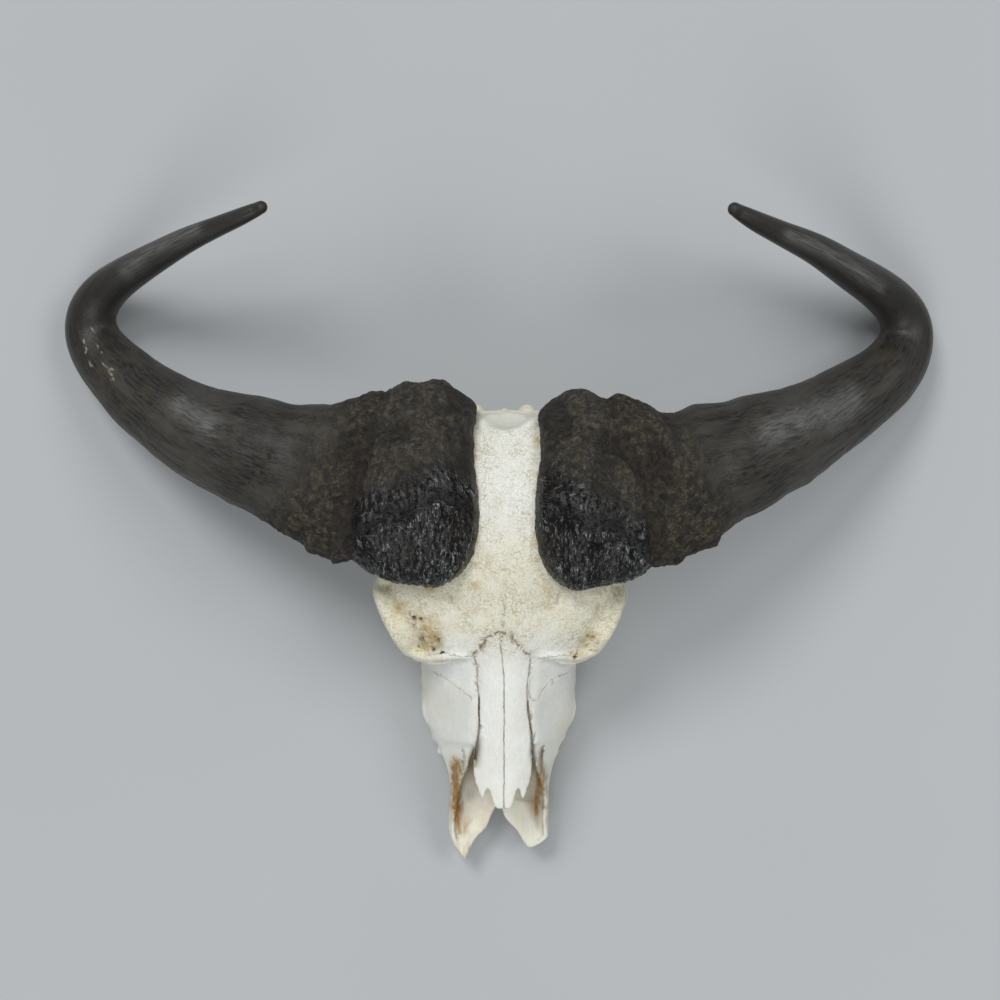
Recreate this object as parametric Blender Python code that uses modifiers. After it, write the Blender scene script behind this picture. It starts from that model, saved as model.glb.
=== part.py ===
"""Cape buffalo skull with both horn sheaths, lying on its cheek teeth and the bends of its horns.

The nose points to -Y, the poll to +Y, the forehead faces up (+Z), and the floor is Z = 0.
Left is -X and right is +X, as someone standing at the nose and looking down sees them.
Tables are in millimetres. Their Y is measured from a point between the eye sockets, and the
object's origin, the middle of its outline on the floor, lies ORIGIN_BACK ahead of the table zero.
"""

import math

import bmesh
import bpy
import numpy as np
from mathutils import Matrix, Vector

MM = 0.001
ORIGIN_BACK = 41.7  # table Y of the outline's middle, counted towards the nose
SEAT_GROWTH = 0.45  # how far a seat stands off its piece at the corners: about 0.3 on the faces
LEFT_WIDER = 1.035  # this skull's left side is a little wider than its right
RIGHT_NARROWER = 0.965

CRANIUM_VOXEL = 2.6
CRANIUM_TRIANGLES = 3600
WALL = 5.0  # thickness of the maxilla's walls and of the nasal bones

# The horns: x, y, z of the middle, and half the width across, from the boss to the tip.
LEFT_HORN = (
    (-75, 17, 214, 105), (-94, 16, 212, 104.5), (-118, 17, 208, 99), (-143, 20, 202, 90),
    (-168, 23, 196, 84.5), (-193, 27, 187, 75), (-218, 35, 178, 68), (-242, 43, 168, 62),
    (-267, 51, 157, 59), (-291, 60, 144, 55), (-316, 69, 128, 51.5), (-340, 81, 111, 47.5),
    (-364, 96, 93, 43.5), (-387, 111, 75, 41), (-410, 132, 56, 37), (-434, 156, 37.5, 33.5),
    (-448.5, 182, 29.5, 29.8), (-448.2, 204, 33, 27.5), (-437, 222, 45.5, 25), (-418, 236, 65, 21.8),
    (-394, 248, 92, 19.2), (-365, 261, 120, 16.4), (-335, 274, 145, 13.8), (-301, 286, 170, 11),
    (-272, 296, 189, 9.1), (-254, 303, 199, 7),
)
RIGHT_HORN = (
    (75, 10, 213, 102), (96, 9, 211, 99.5), (121, 12, 206, 94), (147, 15, 199, 86.5),
    (172, 19, 191, 78.5), (197, 28, 182, 71), (222, 38, 172, 65), (248, 45, 161, 61.5),
    (272, 56, 150, 57.5), (298, 65, 136, 54), (323, 77, 121, 49), (348, 90, 104, 45),
    (374, 105, 87, 42.5), (398, 120, 70, 39.5), (422, 137, 52, 36.5), (440.5, 159, 36.3, 33.5),
    (449, 183, 29.2, 29.5), (445.2, 202, 33, 28), (432.3, 217, 45, 26), (412, 230, 64.5, 23.8),
    (376, 247, 98, 20.8), (333, 267, 135, 17), (290, 282, 165, 13.1), (253, 296, 189, 9.9),
    (238, 303, 198, 7.4),
)
BOSS_INNER = 31  # distance of the boss's inner edge from the middle of the forehead
BOSS_END_RINGS = 6
BOSS_END_RISE = 10  # the boss's inner end sits this much further back than its first row
BOSS_END_WIDTH = 0.62  # width and height of the boss at its inner edge, as shares of the full ones
BOSS_END_HEIGHT = 0.3
TIP_RADIUS = 7
TIP_TURNS = (0.35, 0.7, 0.92)  # where the rings of the rounded tip lie, as shares of its radius
BOSS_FLATNESS = 0.62  # thickness of the boss as a share of its width
ROUND_BELOW = 27  # a horn this thin is round
FULL_BOSS = 100  # half width at which the horn has the boss's full flatness and squareness
BOSS_TOP = 0.78  # the upper side of the boss is this much flatter than its underside
BOSS_SQUARENESS = 0.7  # how far the boss's section goes from an ellipse towards a rectangle
HORN_RINGS = 43
HORN_SIDES = 20
HORN_CROWDING = 0.55  # rings lie closer on the boss than on the horn: 0 spaces them evenly

# Relief of the sheaths, in distance from the middle of the forehead and y.
LEFT_CREASE = ((160, -70), (160, -20), (156, 12), (144, 51), (141, 82), (121, 115))
RIGHT_CREASE = ((150, -70), (145, -15), (143, 7), (132, 36), (117, 65), (103, 110))
CREASE_DEPTH = 6
CREASE_HALF_WIDTH = 9
# Where the ragged front edge of the horn's base steps in, and by how much.
LEFT_LEDGES = ((180, 4), (208, 5))
RIGHT_LEDGES = ((184, 3), (222, 6))
LEDGE_RUN = 14  # a ledge fades out over about this length towards the boss
SMOOTH_BEYOND = 150  # y from which the horn has no relief
LUMP_HEIGHT = 2.2
LUMP_WAVES = (9.5, 17, 11, 23)  # millimetres in a radian of the waves that make the lumps
LUMPS_REACH = (215, 20)  # where the lumps fade out along the horn, and over what length
REAR_LUMP = (114, 14, 4.5)  # distance from the middle, half width and height of the boss's rear knob
INNER_BULGE = 5  # the front of the boss's inner edge stands nearer the middle than its rear
BULGE_WAVE = (-20, 24)  # y of that bulge's middle, and millimetres in a radian of its wave

# The skull's body: rails that run from the nose to the poll, each a row of y, x, z.
RAILS = {
    "dorsal midline": (
        (-262, 0, 144), (-230, 0, 158), (-180, 0, 180), (-137, 0, 200), (-105, 0, 212),
        (-75, 0, 222), (-40, 0, 228), (0, 0, 231), (40, 0, 229), (72, 0, 220), (88, 0, 210),
        (93, 0, 198),
    ),
    "nasal edge and brow": (
        (-262, 26, 137), (-230, 26, 150), (-180, 28, 172), (-160, 33, 181), (-137, 46, 191),
        (-105, 52, 203), (-75, 55, 212), (-40, 58, 218), (0, 58, 221), (40, 56, 219),
        (75, 50, 211), (93, 40, 192),
    ),
    "cheek top and temporal line": (
        (-262, 50, 104), (-230, 56, 112), (-205, 60, 124), (-180, 64, 142), (-160, 80, 158),
        (-137, 96, 170), (-105, 112, 177), (-75, 116, 175), (-55, 102, 178), (-30, 97, 180),
        (0, 96, 182), (40, 94, 184), (75, 84, 178), (93, 64, 168),
    ),
    "cheek and temple": (
        (-262, 68, 64), (-230, 82, 62), (-205, 79, 78), (-180, 79, 92), (-160, 82, 104),
        (-137, 80, 118), (-105, 72, 134), (-75, 68, 136), (-40, 66, 132), (0, 66, 130),
        (40, 78, 128), (75, 98, 122), (93, 86, 120),
    ),
    "outer tooth socket edge and side of the braincase": (
        (-262, 68, 25), (-230, 77, 22), (-180, 79.5, 22), (-155, 77, 25), (-137, 68, 34),
        (-120, 56, 62), (-105, 46, 94), (-75, 50, 96), (-40, 58, 94), (0, 64, 92), (40, 74, 90),
        (75, 72, 80), (93, 50, 84),
    ),
    "inner tooth socket edge and side of the skull base": (
        (-262, 40, 24), (-230, 44, 22), (-180, 46, 22), (-155, 44, 25), (-137, 38, 34),
        (-120, 30, 58), (-105, 24, 80), (-75, 24, 74), (-40, 26, 66), (0, 28, 60), (40, 30, 57),
        (75, 28, 58), (93, 26, 66),
    ),
    "palate and base midline": (
        (-262, 0, 37), (-230, 0, 36), (-180, 0, 38), (-155, 0, 42), (-137, 0, 47),
        (-120, 0, 64), (-105, 0, 80), (-75, 0, 72), (-40, 0, 64), (0, 0, 59), (40, 0, 56),
        (75, 0, 54), (93, 0, 62),
    ),
}
OCCIPUT_TOP = 150  # below this height the back of the skull slopes forwards
OCCIPUT_SLOPE = 0.2
BODY_STATIONS = 40
BODY_ROUND = 56  # points round each section of the body

# The front of each maxilla, where the premaxillae are lost: y, then x, z of the top edge,
# of the widest point and of the tooth socket edge, and x of the edge next to the middle.
LEFT_MUZZLE = (
    (-250, 24, 142, 75, 64, 71, 26, 0), (-265, 26, 135, 68, 60, 66, 26, 0),
    (-283, 37, 112, 61, 56, 59, 27, 0), (-303, 46, 88, 56, 52, 54, 27, 0),
    (-319, 50, 72, 55, 47, 52, 27, 0), (-337, 52, 60, 56, 43, 51, 27, 6),
    (-350, 53, 54, 56.7, 41, 51, 28, 12), (-360, 53.5, 49, 56.7, 39, 51, 29, 16),
    (-370, 52, 45, 55, 37, 50, 30, 26), (-380, 48, 42, 50, 36, 46, 31, 31.5),
    (-388, 42.5, 40, 44, 36, 41, 32, 35), (-395, 38, 38, 39, 36, 37.5, 33, 36),
)
RIGHT_MUZZLE = LEFT_MUZZLE[:5] + (
    (-337, 51, 60, 54.5, 43, 50, 27, 0.5), (-350, 50, 54, 53.5, 41, 49, 28, 5),
    (-363, 51, 48, 55, 39, 49, 29, 18), (-370, 51, 45, 54, 38, 48, 30, 22),
    (-376, 45, 43, 47, 37, 43, 31, 26), (-382, 34, 40, 35, 37, 33, 33, 30),
)
MUZZLE_STATIONS = 34
PALATE_TOP = 41  # height of the nasal cavity's floor
VAULT_OF_PALATE = 35

# The nasal bones beyond the closed part of the face: y and half their width.
NASAL_WIDTHS = (
    (-190, 27), (-214, 25.6), (-237, 27.2), (-262, 30.5), (-290, 31.8), (-305, 29.2),
    (-340, 28.7),
)
NASAL_RIDGE = ((-190, 175), (-237, 155), (-262, 144), (-300, 127), (-335, 116))
# Their front edge: the share of the half width, and y there, with a notch beside each prong.
NASAL_FRONT = (
    (0, -331), (0.2, -331), (0.38, -327), (0.54, -307), (0.64, -309), (0.78, -322), (0.9, -314),
    (1, -302),
)
NASAL_ARCH = 9  # drop of the bones' edges below their middle
NASAL_GRID = (41, 40)  # points across and along

# The eye sockets: a ring that faces outwards and forwards, with a deep bowl behind it.
ORBIT = (111, -126, 134)
ORBIT_FACING = Vector((0.90, -0.435, -0.14)).normalized()
ORBIT_RING = 37
ORBIT_RIM = 8
ORBIT_BOWL = (34, 46)  # radius across, radius in depth
ORBIT_SETBACK = 22
ORBIT_SHELL = 7
ORBIT_RIM_GRID = (36, 12)  # points round the socket and round the rim's section

# Cheek bone and arch, from the facial tuber back to the ear: x, y, z, half width, half height.
ARCH = (
    (64, -252, 56, 7, 6), (74.5, -230, 60, 10, 9), (71, -205, 68, 9, 11), (70, -182, 78, 10, 14),
    (84, -158, 86, 9, 14), (104, -132, 92, 8, 14), (117, -102, 97, 7, 14), (121, -70, 101, 6, 13),
    (117, -30, 104, 6, 11), (108, 5, 106, 8, 10), (94, 32, 106, 11, 12), (78, 45, 104, 14, 14),
)
# The front edge of the forehead's wing, a step above the cheek.
WING_EDGE = ((30, -160, 172, 8, 8), (50, -163, 168, 8, 9), (72, -166, 158, 8, 10), (90, -162, 146, 8, 12))
POSTORBITAL_BAR = (
    (100, -50, 166, 14, 10), (117, -74, 158, 9, 11), (126, -88, 135, 7, 9),
    (122, -92, 100, 7, 10),
)
HORN_CORE_BASE = (
    (60, 12, 150, 72, 46), (100, 12, 160, 66, 32), (124, 14, 164, 54, 20), (142, 16, 167, 36, 10),
)
PTERYGOID = ((25, -146, 52, 3.5, 18), (24, -120, 56, 3.5, 24), (24, -90, 62, 3.5, 18), (26, -60, 66, 3, 8))
NUCHAL_CREST = (
    (0, 85, 198, 6, 7), (34, 85, 192, 6, 8), (66, 83, 168, 6, 8), (90, 75, 132, 8, 8),
    (92, 66, 100, 10, 10),
)
JUGULAR_PROCESS = ((62, 58, 92, 16, 10), (60, 57, 66, 10, 7), (55, 55, 44, 7, 5), (52, 52, 30, 4, 3))
EAR_TUBE = ((66, 30, 88, 11, 11), (86, 34, 96, 9, 9), (97, 37, 100, 8, 8))

# Rounded masses: centre x, y, z and radii; those off the middle are mirrored.
MASSES = (
    (28, 84, 63, 14, 21, 24),  # condyles
    (38, 20, 54, 12, 22, 16),  # ear bullae
    (84, 22, 96, 20, 22, 14),  # jaw joint
    (0, 87, 156, 13, 8, 18),  # knob of the occiput
    (24, 86, 200, 8, 5, 5),  # corners of the poll
    (63, -136, 50, 15, 14, 20),  # maxillary tuber
    (0, 54, 56, 16, 34, 8),  # base in front of the condyles
    (86, -150, 106, 15, 24, 26),  # cheek bone under the eye
    (99, -90, 164, 17, 20, 11),  # roof behind the eye
)
# Hollows, in the same form.
HOLLOWS = (
    (86, -60, 128, 20, 34, 26),  # temporal fossa, open into the eye socket
    (92, 0, 138, 18, 40, 26),  # temporal fossa under the horn
    (58, -108, 62, 24, 24, 30),  # fossa behind the last molar
    (0, -128, 63, 19, 40, 13),  # choanae
    (0, 88, 80, 18, 46, 17),  # foramen magnum
    (0, 100, 226, 44, 28, 24),  # scoop at the rear of the poll
    (97, 38, 100, 12, 4, 4),  # ear opening
)
# Small holes with clean edges, in the same form.
FORAMINA = (
    (80, -250, 60, 9, 7, 5),  # infraorbital
    (58, -104, 205, 3.5, 6, 8),  # supraorbital
)
NASAL_CAVITY = (
    (0, -300, 84, 38, 42), (0, -262, 86, 38, 44), (0, -235, 92, 34, 47), (0, -205, 100, 28, 46),
    (0, -175, 104, 12, 22),
)

# Cheek teeth, front to back: name, middle y, length, width, x of the middle, number of lobes.
TEETH = (
    ("p2", -276, 13.6, 13, 57, 1), ("p3", -260, 17.6, 17, 60, 1), ("p4", -241.6, 18.6, 20, 62, 1),
    ("m1", -218.8, 26.4, 24, 63.5, 2), ("m2", -190, 30.6, 25, 64, 2), ("m3", -158.2, 32.4, 23, 62, 2),
)
TOOTH_ROOT = 33  # height of the hidden root end
TOOTH_STEPS = 6


def through(stations, values, at):
    """Values of a smooth curve through the given ones, at other stations."""
    x = np.asarray(stations, float)
    y = np.asarray(values, float)
    at = np.asarray(at, float)
    slope = np.gradient(y, x)
    i = np.clip(np.searchsorted(x, at) - 1, 0, len(x) - 2)
    step = x[i + 1] - x[i]
    t = np.clip((at - x[i]) / step, 0, 1)
    start = y[i] * (1 + 2 * t) * (1 - t) ** 2 + step * slope[i] * t * (1 - t) ** 2
    end = y[i + 1] * t * t * (3 - 2 * t) + step * slope[i + 1] * t * t * (t - 1)
    return start + end


def path_through(rows, count, crowding=0.0):
    """count rows along a smooth path, closer at its start with crowding; x, y, z come first."""
    rows = np.array(rows, float)
    length = np.concatenate([[0], np.cumsum(np.linalg.norm(np.diff(rows[:, :3], axis=0), axis=1))])
    share = np.linspace(0, 1, count)
    at = length[-1] * share * (1 - crowding + crowding * share)
    return np.column_stack([through(length, column, at) for column in rows.T])


def closed_curve(points, count):
    """count points round a smooth closed curve through the given ones."""
    points = np.array(points, float)
    around = np.concatenate([points[-3:], points, points[:3]])
    chord = np.linalg.norm(np.diff(around, axis=0), axis=1) ** 0.5
    at = np.concatenate([[0], np.cumsum(chord)])
    wanted = np.linspace(at[3], at[-3], count, endpoint=False)
    return np.column_stack([through(at, column, wanted) for column in around.T])


def to_world(points):
    """Table millimetres to the object's metres."""
    return (np.asarray(points, float) + (0, ORIGIN_BACK, 0)) * MM


def mesh_object(name, points, faces, collection):
    mesh = bpy.data.meshes.new(name)
    mesh.from_pydata(to_world(points).tolist(), [], faces)
    made = bmesh.new()
    made.from_mesh(mesh)
    bmesh.ops.triangulate(made, faces=made.faces)
    bmesh.ops.recalc_face_normals(made, faces=made.faces)
    if made.calc_volume(signed=True) < 0:
        bmesh.ops.reverse_faces(made, faces=made.faces)
    made.to_mesh(mesh)
    made.free()
    piece = bpy.data.objects.new(name, mesh)
    collection.objects.link(piece)
    return piece


def ring_loft(name, rings, collection, endless=False):
    """A closed body through rings of points that match one another, with a flat end at each end.

    An endless one joins its last ring to its first and has no ends.
    """
    count = len(rings[0])
    faces = []
    for k in range(len(rings) - (0 if endless else 1)):
        following = (k + 1) % len(rings)
        for i in range(count):
            j = (i + 1) % count
            here, there = k * count, following * count
            faces.append((here + i, here + j, there + j, there + i))
    if not endless:
        faces.append(tuple(range(count)))
        faces.append(tuple(range((len(rings) - 1) * count, len(rings) * count)))
    return mesh_object(name, np.concatenate(rings), faces, collection)


def mirrored(points):
    return np.asarray(points, float) * (-1, 1, 1)


def tube(name, rows, collection, count=16, sides=16, side=1):
    """A tapering bar along a path; its width lies level and its height square to that."""
    path = path_through(rows, count)
    ahead = np.gradient(path[:, :3], axis=0)
    rings = []
    for (x, y, z, wide, high), direction in zip(path, ahead):
        forward = Vector(direction).normalized()
        across = forward.cross(Vector((0, 0, 1)))
        if across.length < 0.3:
            across = forward.cross(Vector((0, 1, 0)))
        across.normalize()
        upward = across.cross(forward)
        ring = []
        for i in range(sides):
            angle = 2 * math.pi * i / sides
            point = Vector((x, y, z)) + across * (wide * math.cos(angle)) + upward * (high * math.sin(angle))
            ring.append(point)
        rings.append(np.array([(p.x * side, p.y, p.z) for p in ring]))
    return ring_loft(name, rings, collection)


def ball(name, centre, radii, collection, turn=None, top=None, segments=24):
    """An ellipsoid; turn is a matrix that rotates it, and top a height where it ends flat."""
    made = bmesh.new()
    bmesh.ops.create_uvsphere(made, u_segments=segments, v_segments=segments * 7 // 12, radius=1)
    rotation = turn if turn is not None else Matrix.Identity(3)
    for vertex in made.verts:
        scaled = Vector([vertex.co[i] * radii[i] for i in range(3)])
        if top is not None:
            scaled.z = min(scaled.z, top)
        vertex.co = to_world(Vector(centre) + rotation @ scaled)
    mesh = bpy.data.meshes.new(name)
    bmesh.ops.recalc_face_normals(made, faces=made.faces)
    made.to_mesh(mesh)
    made.free()
    piece = bpy.data.objects.new(name, mesh)
    collection.objects.link(piece)
    return piece


def both_sides(x):
    return (-1, 1) if x > 0 else (1,)


def signed_power(value, power):
    return math.copysign(abs(value) ** power, value)


def horn_rows(table):
    """The horn's path with the rounded inner end of its boss put before the table's rows."""
    x, y, z, half = table[0]
    side = math.copysign(1, x)
    rows = []
    for k in range(BOSS_END_RINGS):
        turn = 0.5 * math.pi * k / BOSS_END_RINGS
        out = BOSS_INNER + (abs(x) - BOSS_INNER) * (1 - math.cos(turn))
        back = y + BOSS_END_RISE * (1 - math.sin(turn))
        fullness = BOSS_END_WIDTH + (1 - BOSS_END_WIDTH) * math.sin(turn)
        height = BOSS_END_HEIGHT + (1 - BOSS_END_HEIGHT) * math.sin(turn)
        rows.append((side * out, back, z, half * fullness, height))
    return rows + [(*row, 1.0) for row in table]


def distance_to_line(point, line):
    """Distance from a point of the plane to a line of several straight stretches."""
    x, y = point
    nearest = math.inf
    for (ax, ay), (bx, by) in zip(line, line[1:]):
        run, rise = bx - ax, by - ay
        share = ((x - ax) * run + (y - ay) * rise) / (run * run + rise * rise)
        share = min(max(share, 0), 1)
        nearest = min(nearest, math.hypot(x - ax - share * run, y - ay - share * rise))
    return nearest


def sheath_relief(side, x, y, frontness):
    """Height in mm that the sheath's surface stands out; frontness is 1 at its nose-side edge."""
    if y > SMOOTH_BEYOND:
        return 0.0
    crease = LEFT_CREASE if side < 0 else RIGHT_CREASE
    far = distance_to_line((x, y), crease) / CREASE_HALF_WIDTH
    height = -CREASE_DEPTH * math.exp(-far * far)
    for ledge, step in LEFT_LEDGES if side < 0 else RIGHT_LEDGES:
        before = (ledge - x) / LEDGE_RUN
        if frontness > 0 and before > 0:
            height += step * frontness * math.exp(-before * before)
    if frontness < -0.6:
        middle, spread, tall = REAR_LUMP
        height += tall * math.exp(-(((x - middle) / spread) ** 2))
    end, fade = LUMPS_REACH
    base = 1 / (1 + math.exp((x - end) / fade))
    first, warp, second, slant = LUMP_WAVES
    lumps = math.sin(x / first + 0.6 * math.sin(y / warp)) + math.sin(y / second + x / slant + side)
    return height + LUMP_HEIGHT * base * lumps * (1 - max(frontness, 0) ** 2 * 0.5)


def horn_ring(x, y, z, half, dome, direction, side, sides):
    """One ring round the horn, level across and square to its path, with the sheath's relief."""
    forward = Vector(direction).normalized()
    across = (forward.cross(Vector((0, 0, 1))) * side).normalized()
    upward = across.cross(forward) * side
    share = min(max((half - ROUND_BELOW) / (FULL_BOSS - ROUND_BELOW), 0), 1)
    flat = 1 + (BOSS_FLATNESS - 1) * share
    power = 2 / (2 + BOSS_SQUARENESS * share)
    bottom = half * flat * dome
    top = bottom * (1 + (BOSS_TOP - 1) * share)
    middle, wave = BULGE_WAVE
    ring = []
    for i in range(sides):
        angle = 2 * math.pi * i / sides
        c = signed_power(math.cos(angle), power)
        s = signed_power(math.sin(angle), power)
        offset = across * (half * c) + upward * ((top if s > 0 else bottom) * s)
        place = Vector((x, y, z)) + offset
        height = sheath_relief(side, abs(place.x), place.y, c) * dome
        place += offset.normalized() * height
        place.x -= side * INNER_BULGE * (1 - dome) * math.cos((place.y - middle) / wave)
        ring.append(tuple(place))
    return ring


def horn(name, table, collection, rings=HORN_RINGS, sides=HORN_SIDES):
    """One horn sheath."""
    path = path_through(horn_rows(table), rings, HORN_CROWDING)
    side = math.copysign(1, table[0][0])
    ahead = np.gradient(path[:, :3], axis=0)
    ahead[path[:, 4] < 0.999] = (side, 0, 0)
    made = [horn_ring(*row, direction, side, sides) for row, direction in zip(path, ahead)]
    for turn in TIP_TURNS:
        *place, half, dome = path[-1]
        onward = np.array(place) + ahead[-1] / np.linalg.norm(ahead[-1]) * (TIP_RADIUS * turn)
        narrower = half * math.sqrt(1 - turn * turn)
        made.append(horn_ring(*onward, narrower, dome, ahead[-1], side, sides))
    return ring_loft(name, made, collection)


def body_of_skull(collection):
    """Face, forehead and braincase as one loft through the rails."""
    first, last = RAILS["dorsal midline"][0][0], RAILS["dorsal midline"][-1][0]
    stations = np.linspace(first, last, BODY_STATIONS)
    rails = []
    for rows in RAILS.values():
        y, x, z = np.array(rows, float).T
        rails.append(np.column_stack([through(y, x, stations), stations, through(y, z, stations)]))
    rings = []
    for k in range(BODY_STATIONS):
        half = [rail[k] for rail in rails]
        ring = half + [mirrored(p) for p in half[-2:0:-1]]
        ring = closed_curve(ring, BODY_ROUND)
        rearness = max(stations[k] / last, 0) ** 2
        ring[:, 1] -= rearness * OCCIPUT_SLOPE * np.maximum(OCCIPUT_TOP - ring[:, 2], 0)
        rings.append(ring)
    return ring_loft("body of the skull", rings, collection)


def muzzle_side(side, table, collection):
    """The trough that is left of one maxilla in front of the closed face."""
    rows = np.array(table, float)
    stations = np.linspace(rows[0, 0], rows[-1, 0], MUZZLE_STATIONS)
    columns = [through(-rows[:, 0], column, -stations) for column in rows.T]
    rings = []
    for y, top_x, top_z, wide_x, wide_z, low_x, low_z, middle in zip(stations, *columns[1:]):
        wall = min(WALL, 0.4 * (wide_x - middle))
        under = max(VAULT_OF_PALATE - 0.15 * middle, low_z - 1)
        floor = min(PALATE_TOP, top_z - 2)
        inner = max(middle, min(36, low_x - 12))
        section = (
            (top_x, top_z), (wide_x, wide_z), (low_x, low_z), (inner, low_z), (middle, under),
            (middle, max(under + 4, floor - 2)), (max(middle, low_x - 2 * wall), floor),
            (wide_x - wall, max(wide_z, floor)), (top_x - wall, top_z - 1),
        )
        rings.append(np.array([(side * x, y, z) for x, z in section]))
    return ring_loft("maxilla front", rings, collection)


def nasal_bones(collection):
    """The roof of the nose beyond the closed face: a curved plate with notched tips."""
    columns, rows = NASAL_GRID
    y_width, width = np.array(NASAL_WIDTHS, float).T
    y_ridge, ridge = np.array(NASAL_RIDGE, float).T
    share, front = np.array(NASAL_FRONT, float).T
    back = y_width[0]
    points = []
    for across in np.linspace(-1, 1, columns):
        end = np.interp(abs(across), share, front)
        for y in np.linspace(back, end, rows):
            half = through(-y_width, width, -y)
            top = through(-y_ridge, ridge, -y)
            points.append((across * half, y, top - NASAL_ARCH * across * across))
    faces = []
    for i in range(columns - 1):
        for j in range(rows - 1):
            k = i * rows + j
            faces.append((k, k + 1, k + rows + 1, k + rows))
    mesh = bpy.data.meshes.new("nasal bones")
    mesh.from_pydata(to_world(points).tolist(), [], faces)
    plate = bpy.data.objects.new("nasal bones", mesh)
    collection.objects.link(plate)
    solidify = plate.modifiers.new("thickness", "SOLIDIFY")
    solidify.thickness = WALL * MM
    solidify.offset = -1 if mesh.polygons[0].normal.z > 0 else 1
    return plate


def orbit_turn(side):
    """Rotation that turns +Z to the way the eye socket faces."""
    facing = Vector((side * ORBIT_FACING.x, ORBIT_FACING.y, ORBIT_FACING.z))
    return facing, facing.to_track_quat("Z", "Y").to_matrix()


def orbit_ring(side, collection):
    _, turn = orbit_turn(side)
    around, sides = ORBIT_RIM_GRID
    centre = Vector((side * ORBIT[0], ORBIT[1], ORBIT[2]))
    rings = []
    for a in np.linspace(0, 2 * math.pi, around, endpoint=False):
        ring = []
        for b in np.linspace(0, 2 * math.pi, sides, endpoint=False):
            reach = ORBIT_RING + ORBIT_RIM * math.cos(b)
            local = Vector((reach * math.cos(a), reach * math.sin(a), ORBIT_RIM * math.sin(b)))
            ring.append(tuple(centre + turn @ local))
        rings.append(ring)
    return ring_loft("orbit rim", rings, collection, endless=True)


def orbit_ball(side, collection, extra=0.0, top=None):
    facing, turn = orbit_turn(side)
    centre = Vector((side * ORBIT[0], ORBIT[1], ORBIT[2])) - facing * ORBIT_SETBACK
    across, deep = ORBIT_BOWL
    radii = (across + extra, across + extra, deep + extra)
    return ball("orbit", centre, radii, collection, turn, top)


def tooth_outline(length, width, lobes):
    """Points round a tooth seen from below, with a waist between its lobes."""
    along = [math.cos(math.pi * i / TOOTH_STEPS) for i in range(TOOTH_STEPS + 1)]
    cheek, tongue = [], []
    for s in along:
        swell = 0.8 + 0.2 * abs(math.sin(0.5 * math.pi * lobes * (s + 1)))
        rounding = (1 - abs(s) ** 4) ** 0.5
        half = (0.5 * width * swell) * (0.55 + 0.45 * rounding)
        cheek.append((half, 0.5 * length * s))
        tongue.append((-half, 0.5 * length * s))
    return cheek + tongue[::-1]


def tooth(name, side, row, collection):
    _, y, length, width, x, lobes = row
    outline = tooth_outline(length, width, lobes)
    widening = LEFT_WIDER if side < 0 else RIGHT_NARROWER
    levels = (0, TOOTH_ROOT)
    rings = [[(side * (x * widening + px), y + py, z) for px, py in outline] for z in levels]
    return ring_loft(name, rings, collection)


def as_cutter(piece):
    piece.hide_render = True
    piece.display_type = "WIRE"
    return piece


def seat_of(piece, collection):
    """A slightly larger copy of the piece, for cutting the place where it sits."""
    seat = bpy.data.objects.new(piece.name + " seat", piece.data.copy())
    collection.objects.link(seat)
    modifier = seat.modifiers.new("clearance", "DISPLACE")
    modifier.strength = SEAT_GROWTH * MM
    modifier.mid_level = 0
    return as_cutter(seat)


def evaluated_mesh(piece):
    """The piece's mesh with its modifiers applied, in place."""
    graph = bpy.context.evaluated_depsgraph_get()
    graph.update()
    mesh = bpy.data.meshes.new_from_object(piece.evaluated_get(graph))
    piece.modifiers.clear()
    old = piece.data
    piece.data = mesh
    bpy.data.meshes.remove(old)
    return piece


def joined(name, pieces, collection):
    made = bmesh.new()
    for piece in pieces:
        evaluated_mesh(piece)
        made.from_mesh(piece.data)
        mesh = piece.data
        bpy.data.objects.remove(piece)
        bpy.data.meshes.remove(mesh)
    mesh = bpy.data.meshes.new(name)
    made.to_mesh(mesh)
    made.free()
    piece = bpy.data.objects.new(name, mesh)
    collection.objects.link(piece)
    return piece


def remesh(piece, voxel):
    modifier = piece.modifiers.new("skin", "REMESH")
    modifier.mode = "VOXEL"
    modifier.voxel_size = voxel * MM
    return evaluated_mesh(piece)


def smooth(piece, factor, times):
    modifier = piece.modifiers.new("smooth", "SMOOTH")
    modifier.factor = factor
    modifier.iterations = times
    return evaluated_mesh(piece)


def cut(piece, cutters):
    """Takes each cutter out of the piece, one after another."""
    for cutter in cutters:
        modifier = piece.modifiers.new("cut", "BOOLEAN")
        modifier.operation = "DIFFERENCE"
        modifier.solver = "EXACT"
        modifier.object = cutter
        evaluated_mesh(piece)
    return piece


def keep_largest_body(piece):
    made = bmesh.new()
    made.from_mesh(piece.data)
    made.verts.ensure_lookup_table()
    seen = set()
    bodies = []
    for start in made.verts:
        if start in seen:
            continue
        body, edge = {start}, [start]
        while edge:
            vertex = edge.pop()
            for link in vertex.link_edges:
                other = link.other_vert(vertex)
                if other not in body:
                    body.add(other)
                    edge.append(other)
        seen |= body
        bodies.append(body)
    bodies.sort(key=len)
    for body in bodies[:-1]:
        bmesh.ops.delete(made, geom=list(body), context="VERTS")
    made.to_mesh(piece.data)
    made.free()
    return piece


def widen_sides(piece):
    """Gives the skull its own lopsided width."""
    for vertex in piece.data.vertices:
        vertex.co.x *= LEFT_WIDER if vertex.co.x < 0 else RIGHT_NARROWER


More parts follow.
